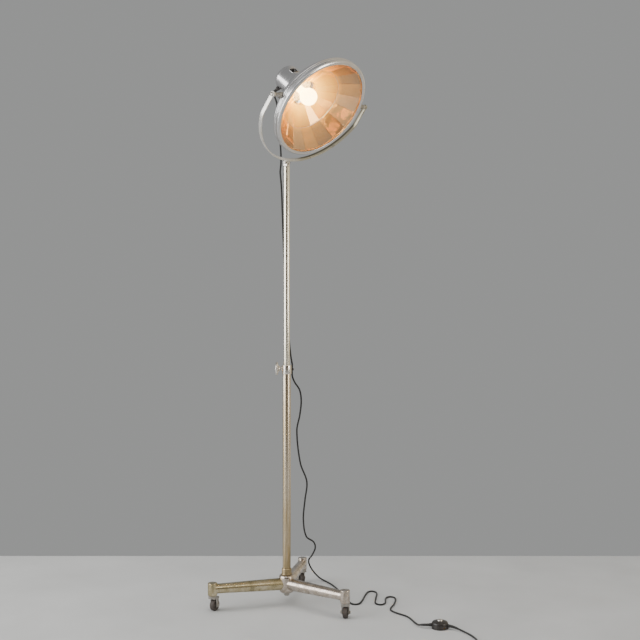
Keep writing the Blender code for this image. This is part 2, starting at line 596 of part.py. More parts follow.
def build_switch(stand):
    """A round foot switch: a base plate, a domed cover and a push button with its spring."""
    place = empty("switch_frame", stand, place=(*SWITCH_PLACE, 0))
    base = turned("switch_base", [
        (0, 0.0002), (SWITCH_RADIUS - 0.0010, 0.0002), (SWITCH_RADIUS, 0.0012),
        (SWITCH_RADIUS, 0.0040), (0.0235, 0.0040), (0.0235, 0.0060), (0, 0.0060)],
        BLACK, place, sides=32)
    outside = [(SWITCH_RADIUS, 0.0043), (SWITCH_RADIUS, 0.0170), (0.0262, 0.0205),
               (0.0225, 0.0232), (0.0125, 0.0245), (0.0092, 0.0245)]
    inside = [(0.0092, 0.0225), (0.0125, 0.0225), (0.0215, 0.0212), (0.0240, 0.0170),
              (0.0240, 0.0043)]
    cover = turned("switch_cover", outside + inside, BLACK, place, sides=32)
    for name, turn in SWITCH_WAYS.items():
        line = empty(f"switch_{name}_line", place, place=(0, 0, FLEX_HEIGHT), turn=(0, 0, turn))
        drill(cover, f"switch_{name}_bore_tool", 0.0050, 0.015, 0.040, line, along="X")
        turned(f"switch_{name}_grommet", [
            (0.0032, 0.0200), (0.0047, 0.0200), (0.0047, SWITCH_RADIUS + 0.0004),
            (0.0058, SWITCH_RADIUS + 0.0006), (0.0052, SWITCH_RADIUS + 0.0060),
            (0.0040, SWITCH_RADIUS + GROMMET_REACH), (0.0032, SWITCH_RADIUS + GROMMET_REACH)],
            RUBBER, line, sides=20, along="X")
    button = empty("switch_button_line", place)
    turned("switch_button", [
        (0, 0.0160), (0.0120, 0.0160), (0.0120, 0.0220), (0.0088, 0.0220), (0.0088, 0.0275),
        (0.0075, 0.0290), (0, 0.0294)], NICKEL, button, sides=20)
    turned("switch_spring", [
        (0.0040, 0.0064), (0.0062, 0.0064), (0.0062, 0.0156), (0.0040, 0.0156)], STEEL, place,
        sides=20)
    return base


def build_coil(stand):
    ring = empty("coil_frame", stand, place=(*COIL_PLACE, 0))
    low, high = 0.0004, COIL_HEIGHT
    inner, outer = COIL_MID_RADIUS - COIL_HALF_WIDTH, COIL_MID_RADIUS + COIL_HALF_WIDTH
    turned("cord_coil", [
        (inner, low + 0.004), (inner + 0.003, low), (outer - 0.003, low), (outer, low + 0.004),
        (outer, high - 0.004), (outer - 0.003, high), (inner + 0.003, high),
        (inner, high - 0.004)], BRAID, ring, sides=32)
    return ring


def build_plug(stand, place, heading):
    """A round two-pin plug lying on its side."""
    line = empty("plug_frame", stand, place=place, turn=(0, 0, heading))
    body = turned("plug_body", [
        (0.0034, 0), (0.0055, 0), (0.0075, 0.010), (0.0150, 0.022), (PLUG_RADIUS, 0.026),
        (PLUG_RADIUS, PLUG_LENGTH - 0.002), (0.0145, PLUG_LENGTH), (0, PLUG_LENGTH), (0, 0.0100),
        (0.0034, 0.0100)], BLACK, line, sides=20, along="X")
    for side in (-1, 1):
        pin = rod(f"plug_pin_tool_{side + 1}", 0.0023, PLUG_LENGTH - 0.004, PLUG_LENGTH + 0.0190,
                  BRASS, line, sides=12, along="X", place=(0, 0.0095 * side, 0))
        combine(body, pin, "UNION")


def build_flex(stand, slide, swivel, yoke, head, gland):
    """The flex from the head's gland down the column to the floor, the switch and the coil."""
    bpy.context.view_layer.update()
    leave = CAP_RADIUS + GLAND_REACH + GAP
    way_out = gland.matrix_world.to_3x3() @ Vector((0, 0, 1))
    start = gland.matrix_world @ Vector((0, 0, leave))
    floor = FLOOR_LINE
    head_run = [start, start + way_out * 0.012, (-0.0345, -0.0090, 1.752), (-0.0310, -0.0010, 1.715)]
    yoke_run = [(-0.0310, -0.0010, 1.7142), (-0.0265, 0.0040, 1.660), (-0.0225, 0.0060, 1.610),
                (-0.0205, 0.0090, 1.575)]
    world_cord("cord_head", head_run, head, spacing=0.010)
    world_cord("cord_yoke", yoke_run, yoke)
    world_cord("cord_swivel", [(-0.0205, 0.0090, 1.5742), (-0.0205, 0.0120, 1.545),
                               (-0.0235, 0.0130, 1.512)], swivel)
    world_cord("cord_column", [
        (-0.0235, 0.0130, 1.5112), (-0.0190, 0.0160, 1.46), (-0.0160, 0.0185, 1.38),
        (-0.0125, 0.0210, 1.28), (-0.0070, 0.0230, 1.15), (-0.0010, 0.0240, 1.02),
        (0.0070, 0.0245, 0.93), (0.0140, 0.0220, 0.865), (0.0190, 0.0190, 0.8390)], slide)
    lower = [
        (0.0190, 0.0190, 0.8377), (0.0190, 0.0190, 0.798), (0.0270, 0.0240, 0.775),
        (0.0445, 0.0400, 0.745), (0.0500, 0.0520, 0.705), (0.0450, 0.0620, 0.655),
        (0.0340, 0.0780, 0.595), (0.0460, 0.1080, 0.475), (0.0690, 0.1250, 0.405),
        (0.0620, 0.1430, 0.335), (0.0560, 0.1690, 0.260), (0.0660, 0.1960, 0.192),
        (0.0930, 0.2180, 0.166), (0.0990, 0.2380, 0.140), (0.0880, 0.2620, 0.108),
        (0.0740, 0.2900, 0.078), (0.0850, 0.3080, 0.044), (0.1120, 0.3100, 0.012),
        (0.1460, 0.2700, floor), (0.1780, 0.1860, floor), (0.2225, 0.0040, floor),
        (0.2400, -0.0150, floor), (0.2575, 0.0040, floor), (0.2870, 0.1330, floor),
        (0.3035, 0.1510, floor), (0.3200, 0.1330, floor), (0.3150, 0.0650, floor),
        (0.3110, 0.0000, floor), (0.3275, -0.0180, floor), (0.3440, 0.0000, floor),
        (0.3505, 0.0620, floor), (0.3670, 0.0800, floor), (0.3835, 0.0620, floor),
        (0.3750, -0.0100, floor), (0.3590, -0.0700, floor), (0.3680, -0.1030, floor),
        (0.4120, -0.1600, floor), (0.4380, -0.2500, floor + 0.002), (0.4560, -0.2740, FLEX_HEIGHT)]
    lower.append((SWITCH_PLACE[0] - SWITCH_RADIUS - GROMMET_REACH - GAP, SWITCH_PLACE[1], FLEX_HEIGHT))
    world_cord("cord_lower", lower, stand, spacing=0.024)
    turn = math.radians(SWITCH_WAYS["out"])
    exit_way = Vector((math.cos(turn), math.sin(turn), 0))
    leave_switch = Vector((*SWITCH_PLACE, FLEX_HEIGHT)) + exit_way * (SWITCH_RADIUS + GROMMET_REACH + GAP)
    outer_turn = COIL_PLACE[0] - COIL_MID_RADIUS - COIL_HALF_WIDTH + 5.5 * MM
    world_cord("cord_mains", [
        leave_switch, leave_switch + exit_way * 0.015 - Vector((0, 0, 0.003)),
        (0.5860, -0.3270, floor), (0.6110, -0.3950, floor), (0.6100, -0.4450, floor),
        (outer_turn, COIL_PLACE[1] + 0.032, floor)], stand, spacing=0.024)
    plug_at = (COIL_PLACE[0] + PLUG_FROM_COIL[0], COIL_PLACE[1] + PLUG_FROM_COIL[1],
               PLUG_RADIUS + 0.2 * MM)
    build_plug(stand, plug_at, 90)


def world_cord(name, points, parent, spacing=12 * CORD_RADIUS):
    """A cord whose route is given in the world's frame, carried by a moving frame."""
    made = cord(name, points, parent, spacing)
    bpy.context.view_layer.update()
    made.matrix_parent_inverse = parent.matrix_world.inverted()
    return made


def build_cord_tie(stand):
    """A small strap that holds the flex beside the clamp collar."""
    frame = empty("tie_frame", stand, place=(0.0190, 0.0190, 0.8200))
    sleeve("cord_tie", CORD_RADIUS + 1.0 * MM, CORD_RADIUS + 2.4 * MM, -0.0040, 0.0040, BLACK, frame,
           sides=20)


CORD_PARTS = ("cord_head", "cord_yoke", "cord_swivel", "cord_column", "cord_lower", "cord_mains",
              "cord_coil", "plug_body", "switch_base", "switch_cover", "switch_button",
              "switch_spring", "switch_in_grommet", "switch_out_grommet")


def centre_on_origin(stand):
    """Put the middle of the light's own footprint, without the flex, over the origin."""
    bpy.context.view_layer.update()
    depsgraph = bpy.context.evaluated_depsgraph_get()
    low, high = [math.inf] * 2, [-math.inf] * 2
    for item in bpy.context.scene.objects:
        if item.type != "MESH" or item.hide_render or item.name in CORD_PARTS:
            continue
        solid = item.evaluated_get(depsgraph)
        for vert in solid.data.vertices:
            place = solid.matrix_world @ vert.co
            for axis in range(2):
                low[axis] = min(low[axis], place[axis])
                high[axis] = max(high[axis], place[axis])
    stand.location = (-(low[0] + high[0]) / 2, -(low[1] + high[1]) / 2, 0)
    return stand.location


def build():
    clear_scene()
    stand = empty("stand_frame")
    build_hub(stand)
    for side, azimuth in LEG_AZIMUTHS.items():
        leg_frame = build_leg(f"leg_{side}", azimuth, stand)
        build_caster(side, leg_frame)
    slide = build_column(stand)
    swivel = build_swivel(slide)
    yoke = build_yoke(swivel)
    head = empty("head_axis", yoke, place=(0, 0, TRUNNION_HEIGHT), turn=(0, HEAD_TILT, 0))
    build_trunnions(yoke, head)
    build_shell(head)
    build_reflector(head)
    gland = build_lamp(head)
    build_switch(stand)
    build_coil(stand)
    build_cord_tie(stand)
    build_flex(stand, slide, swivel, yoke, head, gland)
    centre_on_origin(stand)


build()
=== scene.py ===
"""Looks of the surgical floor light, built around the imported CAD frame. Units are metres, +Z is up."""

import json
import math

import bmesh
import bpy
from mathutils import Matrix, Vector
from mathutils.geometry import interpolate_bezier


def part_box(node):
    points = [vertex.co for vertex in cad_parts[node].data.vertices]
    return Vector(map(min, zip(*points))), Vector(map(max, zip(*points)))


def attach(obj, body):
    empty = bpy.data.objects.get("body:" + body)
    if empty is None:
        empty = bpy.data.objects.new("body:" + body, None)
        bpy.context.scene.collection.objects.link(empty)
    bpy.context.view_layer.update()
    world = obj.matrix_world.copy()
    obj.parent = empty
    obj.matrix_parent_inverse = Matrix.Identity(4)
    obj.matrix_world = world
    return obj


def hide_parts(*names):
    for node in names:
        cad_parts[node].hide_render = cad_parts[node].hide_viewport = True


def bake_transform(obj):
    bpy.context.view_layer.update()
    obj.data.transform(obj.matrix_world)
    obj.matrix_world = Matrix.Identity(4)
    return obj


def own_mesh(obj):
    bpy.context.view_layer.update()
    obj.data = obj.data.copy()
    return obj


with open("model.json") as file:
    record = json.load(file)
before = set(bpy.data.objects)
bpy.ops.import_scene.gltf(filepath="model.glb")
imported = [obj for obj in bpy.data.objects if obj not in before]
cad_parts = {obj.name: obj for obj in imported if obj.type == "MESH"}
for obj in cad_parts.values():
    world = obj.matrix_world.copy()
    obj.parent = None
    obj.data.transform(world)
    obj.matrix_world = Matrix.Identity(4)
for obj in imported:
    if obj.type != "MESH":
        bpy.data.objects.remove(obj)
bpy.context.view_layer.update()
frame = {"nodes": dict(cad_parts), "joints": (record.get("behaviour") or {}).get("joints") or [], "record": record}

tube_low, tube_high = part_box("lower_tube")
COLUMN = Vector(((tube_low.x + tube_high.x) / 2, (tube_low.y + tube_high.y) / 2, 0))
JOINTS = {joint["name"]: joint for joint in frame["joints"]}


# ---------------------------------------------------------------- camera, light and floor

CAMERA_PLACE = COLUMN + Vector((0.1166, -4.2, 1.212))
FOCAL_MM, SENSOR_MM, SHIFT_Y = 67.5, 36.0, -0.0972
FLOOR_BEHIND = 0.677                # how far the floor reaches behind the column
FLOOR_SIDE, FLOOR_FRONT = 6, 8


def make_camera():
    data = bpy.data.cameras.new("camera")
    data.sensor_width = SENSOR_MM
    data.lens = FOCAL_MM
    data.shift_y = SHIFT_Y
    camera = bpy.data.objects.new("camera", data)
    bpy.context.collection.objects.link(camera)
    camera.location = CAMERA_PLACE
    camera.rotation_euler = (math.radians(90), 0, 0)
    bpy.context.scene.camera = camera


def area_light(name, place, target, width, height, power, colour=(1, 1, 1)):
    data = bpy.data.lights.new(name, "AREA")
    data.shape = "RECTANGLE"
    data.size, data.size_y = width, height
    data.energy = power
    data.color = colour
    light = bpy.data.objects.new(name, data)
    bpy.context.collection.objects.link(light)
    light.location = place
    light.visible_camera = False
    light.rotation_euler = (Vector(target) - Vector(place)).to_track_quat("-Z", "Y").to_euler()
    return light


def make_lights():
    area_light("left_window", (-2.9, -1.2, 1.5), (0, -0.1, 1.2), 3.4, 2.6, 120)
    area_light("right_window", (3.1, -1.75, 1.25), (0, 0, 1.35), 1.0, 1.3, 32, (1.0, 0.96, 0.90))
    area_light("high_front", (0.0, -4.8, 4.8), (0, 0, 1.0), 7.0, 2.4, 85, (1.0, 0.985, 0.96))
    overhead = area_light("overhead", (-0.3, -0.3, 3.8), (0, 0, 0), 3.0, 3.0, 75)
    overhead.visible_glossy = False


WALL = (0.318, 0.322, 0.319, 1)
ROOM_CREAM, ROOM_DARK = (0.70, 0.62, 0.48, 1), (0.085, 0.068, 0.048, 1)


def make_world():
    """An even grey, with a room for the metal to mirror: cream to the right, dark in front."""
    world = bpy.data.worlds.new("studio")
    bpy.context.scene.world = world
    world.use_nodes = True
    nodes, links = world.node_tree.nodes, world.node_tree.links
    place = nodes.new("ShaderNodeTexCoord").outputs["Generated"]
    split = nodes.new("ShaderNodeSeparateXYZ")
    links.new(place, split.inputs[0])
    amounts = []
    for axis, low, high in (("X", 0.05, 0.50), ("Y", -0.70, -0.88)):
        span = nodes.new("ShaderNodeMapRange")
        links.new(split.outputs[axis], span.inputs["Value"])
        span.inputs["From Min"].default_value = low
        span.inputs["From Max"].default_value = high
        amounts.append(span.outputs["Result"])
    amounts.append(nodes.new("ShaderNodeLightPath").outputs["Is Glossy Ray"])
    for amount, first, second in zip(amounts, (WALL, None, WALL), (ROOM_CREAM, ROOM_DARK, None)):
        mix = nodes.new("ShaderNodeMix")
        mix.data_type = "RGBA"
        links.new(amount, mix.inputs[0])
        for socket, value in ((mix.inputs[6], first), (mix.inputs[7], second)):
            if value is None:
                links.new(colour, socket)
            else:
                socket.default_value = value
        colour = mix.outputs[2]
    links.new(colour, nodes["Background"].inputs["Color"])


# ---------------------------------------------------------------- node materials

class Finish:
    """A Principled material with short calls for the nodes in front of it."""

    def __init__(self, name, **values):
        self.material = bpy.data.materials.new(name)
        self.material.use_nodes = True
        self.tree = self.material.node_tree
        self.shader = self.tree.nodes["Principled BSDF"]
        for socket, value in values.items():
            self.shader.inputs[socket.replace("_", " ")].default_value = value
        self.place = self.node("ShaderNodeTexCoord").outputs["Object"]

    def node(self, kind, inputs=None, **settings):
        made = self.tree.nodes.new(kind)
        for key, value in settings.items():
            setattr(made, key, value)
        for key, value in (inputs or {}).items():
            self.put(made.inputs[key], value)
        return made

    def put(self, socket, value):
        if isinstance(value, bpy.types.NodeSocket):
            self.tree.links.new(value, socket)
        elif isinstance(value, tuple) and len(value) == 3 and socket.type == "RGBA":
            socket.default_value = (*value, 1)
        else:
            socket.default_value = value

    def axis_frame(self, matrix):
        """Coordinates in a turned piece's own frame, its axis along X."""
        turn = matrix.to_euler()
        return self.node("ShaderNodeMapping", {"Vector": self.place, "Location": tuple(matrix.translation),
                         "Rotation": tuple(turn)}, vector_type="TEXTURE").outputs["Vector"]

    def stretched(self, scale, place=None):
        return self.node("ShaderNodeVectorMath", {0: place or self.place, 1: scale},
                         operation="MULTIPLY").outputs["Vector"]

    def noise(self, scale, detail=3.0, place=None, rough=0.55):
        return self.node("ShaderNodeTexNoise", {"Vector": place or self.place, "Scale": scale,
                         "Detail": detail, "Roughness": rough}).outputs["Fac"]

    def ramp(self, fac, *stops):
        made = self.node("ShaderNodeValToRGB", {"Fac": fac})
        points = made.color_ramp.elements
        while len(points) < len(stops):
            points.new(0.5)
        for point, (at, colour) in zip(points, stops):
            point.position = at
            point.color = (*colour, 1) if isinstance(colour, tuple) else (colour, colour, colour, 1)
        return made.outputs["Color"]

    def mix(self, fac, first, second):
        made = self.node("ShaderNodeMix", data_type="RGBA")
        self.put(made.inputs[0], fac)
        self.put(made.inputs[6], first)
        self.put(made.inputs[7], second)
        return made.outputs[2]

    def math(self, how, first, second=0.0, third=0.5):
        return self.node("ShaderNodeMath", {0: first, 1: second, 2: third}, operation=how).outputs[0]

    def colour(self, value):
        self.put(self.shader.inputs["Base Color"], value)

    def rough(self, value):
        self.put(self.shader.inputs["Roughness"], value)

    def bump(self, height, strength, distance):
        values = {"Height": height, "Strength": strength, "Distance": distance}
        self.put(self.shader.inputs["Normal"], self.node("ShaderNodeBump", values).outputs["Normal"])


# ---------------------------------------------------------------- mesh helpers

def smooth_route(points, spacing):
    """Evenly spaced points on a smooth curve through the route's own points."""
    route = [Vector(point) for point in points]
    dense = []
    for index in range(len(route) - 1):
        before = route[max(index - 1, 0)]
        here, there = route[index], route[index + 1]
        after = route[min(index + 2, len(route) - 1)]
        span = (there - here).length
        leave = (there - before).normalized() * span / 3
        arrive = (after - here).normalized() * span / 3
        piece = interpolate_bezier(here, here + leave, there - arrive, there, 16)
        dense += piece[:-1]
    dense.append(route[-1])
    return even_line(dense, spacing)


def even_line(dense, spacing):
    lengths = [0.0]
    for first, second in zip(dense, dense[1:]):
        lengths.append(lengths[-1] + (second - first).length)
    count = max(2, round(lengths[-1] / spacing))
    even, index = [], 0
    for step in range(count + 1):
        want = lengths[-1] * step / count
        while index < len(dense) - 2 and lengths[index + 1] < want:
            index += 1
        part = (want - lengths[index]) / max(lengths[index + 1] - lengths[index], 1e-9)
        even.append(dense[index].lerp(dense[index + 1], min(max(part, 0.0), 1.0)))
    return even


def link(name, mesh, finish):
    made = bpy.data.objects.new(name, mesh)
    bpy.context.collection.objects.link(made)
    if finish:
        mesh.materials.append(finish)
    return made


def tube_rings(bm, line, radii, side, sides):
    """A ring of vertices round each point of a line, with no twist from one ring to the next."""
    rings = []
    for index, (point, radius) in enumerate(zip(line, radii)):
        tangent = (line[min(index + 1, len(line) - 1)] - line[max(index - 1, 0)]).normalized()
        side = (side - tangent * side.dot(tangent)).normalized()
        other = tangent.cross(side)
        rings.append([bm.verts.new(point + (side * math.cos(math.tau * step / sides)
                      + other * math.sin(math.tau * step / sides)) * radius) for step in range(sides)])
    return rings


def skin(bm, rings):
    """The faces between rings of one size, which it returns, and a cap at each end."""
    count, faces = len(rings[0]), []
    for first, second in zip(rings, rings[1:]):
        for step in range(count):
            after = (step + 1) % count
            faces.append(bm.faces.new((first[step], first[after], second[after], second[step])))
    bm.faces.new(rings[0][::-1])
    bm.faces.new(rings[-1])
    return faces


def tube_mesh(name, line, radius, sides=10):
    """A closed round tube along a line, with (around, along) as its UV map in metres."""
    bm = bmesh.new()
    uv = bm.loops.layers.uv.new("flex")
    side = Vector((1, 0, 0)) if abs((line[1] - line[0]).normalized().x) < 0.8 else Vector((0, 1, 0))
    along = [0.0]
    for first, second in zip(line, line[1:]):
        along.append(along[-1] + (second - first).length)
    faces = skin(bm, tube_rings(bm, line, [radius] * len(line), side, sides))
    for number, face in enumerate(faces):
        index, step = divmod(number, sides)
        face.smooth = True
        corners = ((step, index), (step + 1, index), (step + 1, index + 1), (step, index + 1))
        for loop, (turn, at) in zip(face.loops, corners):
            loop[uv].uv = (turn / sides, along[at])
    mesh = bpy.data.meshes.new(name)
    bm.to_mesh(mesh)
    bm.free()
    return mesh


def frame_matrix(pivot, side, pitch, offset=(0, 0, 0)):
    """A frame whose Y is a joint's axis and whose X points forward and down by pitch degrees."""
    side = Vector(side).normalized()
    level = side.cross(Vector((0, 0, 1)))
    angle = math.radians(pitch)
    forward = level * math.cos(angle) - Vector((0, 0, 1)) * math.sin(angle)
    turn = Matrix((forward, side, forward.cross(side))).transposed()
    made = turn.to_4x4()
    made.translation = Vector(pivot) + turn @ Vector(offset)
    return made


def aimed(place, way):
    """A frame at place whose X points along way."""
    made = Vector(way).to_track_quat("X", "Z").to_matrix().to_4x4()
    made.translation = Vector(place)
    return made


UPRIGHT = Matrix.Rotation(math.radians(-90), 4, "Y")


def upright(x, y):
    """A frame whose X points up, over a point of the floor."""
    return Matrix.Translation((x, y, 0)) @ UPRIGHT


def filleted(outline, radius, closed=True, steps=3):
    """The outline again with its corners rounded."""
    count = len(outline)
    points = [Vector(point) for point in outline]
    made = []
    for index, here in enumerate(points):
        if not closed and index in (0, count - 1):
            made.append(here)
            continue
        before, after = points[index - 1] - here, points[(index + 1) % count] - here
        turn = before.angle(after, math.pi)
        reach = min(radius, before.length * 0.45, after.length * 0.45)
        if turn > math.radians(165) or reach < 1e-5:
            made.append(here)
            continue
        first, last = here + before.normalized() * reach, here + after.normalized() * reach
        for step in range(steps + 1):
            t = step / steps
            made.append(first * (1 - t) ** 2 + here * 2 * t * (1 - t) + last * t ** 2)
    return [(point.x, point.y) for point in made]


def finished(name, bm, matrix, finish, body, smooth=40):
    bmesh.ops.recalc_face_normals(bm, faces=bm.faces)
    mesh = bpy.data.meshes.new(name)
    bm.to_mesh(mesh)
    bm.free()
    if matrix is not None:
        mesh.transform(matrix)
    mesh.shade_smooth()
    if smooth < 180:
        mesh.set_sharp_from_angle(angle=math.radians(smooth))
    made = link(name, mesh, finish)
    if body:
        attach(made, body)
    return made


def lathe_into(bm, outline, segments):
    """Turn (radius, along) points about X. Radius 0 is a pole; an outline without poles is closed."""
    rings = []
    for radius, along in outline:
        if radius <= 1e-7:
            rings.append([bm.verts.new((along, 0, 0))])
            continue
        angles = [math.tau * step / segments for step in range(segments)]
        rings.append([bm.verts.new((along, radius * math.cos(angle), radius * math.sin(angle)))
                      for angle in angles])
    pairs = list(zip(rings, rings[1:]))
    if len(rings[0]) > 1:
        pairs.append((rings[-1], rings[0]))
    for first, second in pairs:
        for step in range(segments):
            after = (step + 1) % segments
            if len(first) == 1 and len(second) == 1:
                break
            if len(first) == 1:
                bm.faces.new((first[0], second[step], second[after]))
            elif len(second) == 1:
                bm.faces.new((first[step], first[after], second[0]))
            else:
                bm.faces.new((first[step], first[after], second[after], second[step]))


def lathe(name, outline, matrix, finish, body, segments=72, round_by=0.0, smooth=40):
    if round_by:
        outline = filleted(outline, round_by, closed=outline[0][0] > 1e-7)
    bm = bmesh.new()
    lathe_into(bm, outline, segments)
    return finished(name, bm, matrix, finish, body, smooth)


def block(name, low, high, matrix, finish, body, bevel=0.0, segments=2):
    bm = bmesh.new()
    bmesh.ops.create_cube(bm, size=1.0)
    for vert in bm.verts:
        vert.co = Vector([low[axis] + (vert.co[axis] + 0.5) * (high[axis] - low[axis]) for axis in range(3)])
    if bevel:
        bmesh.ops.bevel(bm, geom=list(bm.edges), offset=bevel, segments=segments, profile=0.5,
                        affect="EDGES")
    return finished(name, bm, matrix, finish, body)


def rod(radius, low, high, matrix, segments, finish=None, round_by=0.0):
    """A plain rod about X, to cut a hole with or to join on."""
    return lathe("rod", [(0, low), (radius, low), (radius, high), (0, high)], matrix, finish, None,
                 segments, round_by)


def carve(target, tool, how="DIFFERENCE"):
    """Cut, join or trim the target with a tool, and keep the result as its mesh."""
    modifier = target.modifiers.new("carve", "BOOLEAN")
    modifier.operation, modifier.solver, modifier.object = how, "EXACT", tool
    depsgraph = bpy.context.evaluated_depsgraph_get()
    mesh = bpy.data.meshes.new_from_object(target.evaluated_get(depsgraph))
    target.modifiers.clear()
    target.data = mesh
    bpy.data.objects.remove(tool, do_unlink=True)
    mesh.shade_smooth()
    mesh.set_sharp_from_angle(angle=math.radians(38))
    return target


def stand_for(piece, slot_name, *nodes):
    if nodes:
        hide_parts(*nodes)
    return piece


HEAD_PITCH, YOKE_PITCH = 36.5, 38.5
HEAD = frame_matrix(JOINTS["head_tilt"]["pos_m"], JOINTS["head_tilt"]["axis"], HEAD_PITCH,
                    (-0.016, -0.010, -0.014))
TRUNNION = frame_matrix(JOINTS["head_tilt"]["pos_m"], JOINTS["head_tilt"]["axis"], YOKE_PITCH)
YOKE = frame_matrix(JOINTS["yoke_lean"]["pos_m"], JOINTS["yoke_lean"]["axis"], YOKE_PITCH)
GLAND_BACK, GLAND_TURN = -0.152, math.radians(31)


# ---------------------------------------------------------------- flex

FLEX_DIAMETER = 0.006
FLOOR_LINE = FLEX_DIAMETER / 2 + 0.0002
SWITCH_LEFT, SWITCH_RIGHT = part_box("switch_base")
SWITCH = (SWITCH_LEFT + SWITCH_RIGHT) / 2
COIL_LOW, COIL_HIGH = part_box("cord_coil")
COIL = (COIL_LOW + COIL_HIGH) / 2
GROMMET_REACH = 0.0275 + 0.0110 + 0.0003
FLEX_HEIGHT = 0.0115
SWITCH_TURNS = (180, -25)           # where the flex goes in and comes out, in degrees
PLUG_TURN = 0.019                   # bend of the flex into the plug
JOIN_POINT = 60                     # the point at which the flex beside the column is split into flex_column and flex_slack
OUTER_TURN = (COIL_HIGH.x - COIL_LOW.x) / 2 - 0.0055


def braid_finish():
    made = Finish("cotton_braid", Roughness=0.82, Sheen_Weight=0.12, Sheen_Roughness=0.5)
    uv = made.node("ShaderNodeUVMap", uv_map="flex").outputs["UV"]
    ways = []
    for hand in (1, -1):
        shear = made.node("ShaderNodeSeparateXYZ", {"Vector": uv})
        lean = made.math("MULTIPLY", shear.outputs["X"], 8.0 * hand)
        run = made.math("MULTIPLY", shear.outputs["Y"], 420.0)
        wave = made.math("SINE", made.math("MULTIPLY", made.math("ADD", lean, run), math.tau))
        ways.append(made.math("MULTIPLY_ADD", wave, 0.5))
    weave = made.math("MAXIMUM", *ways)
    wear = made.noise(90.0, 4.0)
    dark = made.ramp(weave, (0.2, (0.004, 0.004, 0.004)), (0.9, (0.018, 0.017, 0.016)))
    dusty = made.ramp(weave, (0.2, (0.010, 0.009, 0.009)), (0.9, (0.034, 0.032, 0.030)))
    made.colour(made.mix(made.ramp(wear, (0.50, 0.0), (0.72, 1.0)), dark, dusty))
    made.bump(weave, 0.6, 0.0004)
    return made.material


def flex(name, line, braid):
    return link(name, tube_mesh(name, line, FLEX_DIAMETER / 2, 12), braid)


def shifted(points):
    return [COLUMN + Vector(point) for point in points]


def coil_line():
    """Seven turns laid beside and on each other, a diameter apart, from the outside in and up."""
    centre = Vector((COIL.x, COIL.y, 0))
    step_out, step_up = 0.0061, 0.0056
    wide, low = OUTER_TURN, FLOOR_LINE
    lay = [(wide, low), (wide - step_out, low), (wide - 2 * step_out, low),
           (wide - 1.5 * step_out, low + step_up), (wide - 0.5 * step_out, low + step_up),
           (wide - 1.0 * step_out, low + 2 * step_up), (wide, low + 2 * step_up),
           (wide - 0.5 * step_out, low + 3 * step_up), (wide, low + 3 * step_up)]
    points, per_turn = [], 36
    for step in range(int(7.25 * per_turn) + 1):
        turn, part = divmod(step, per_turn)
        ease = part / per_turn
        ease = ease * ease * (3 - 2 * ease)
        first, second = lay[turn], lay[min(turn + 1, len(lay) - 1)]
        radius = first[0] + (second[0] - first[0]) * ease
        height = first[1] + (second[1] - first[1]) * ease
        angle = math.pi + math.tau * step / per_turn
        points.append(centre + Vector((radius * math.cos(angle), radius * math.sin(angle), height)))
    return points


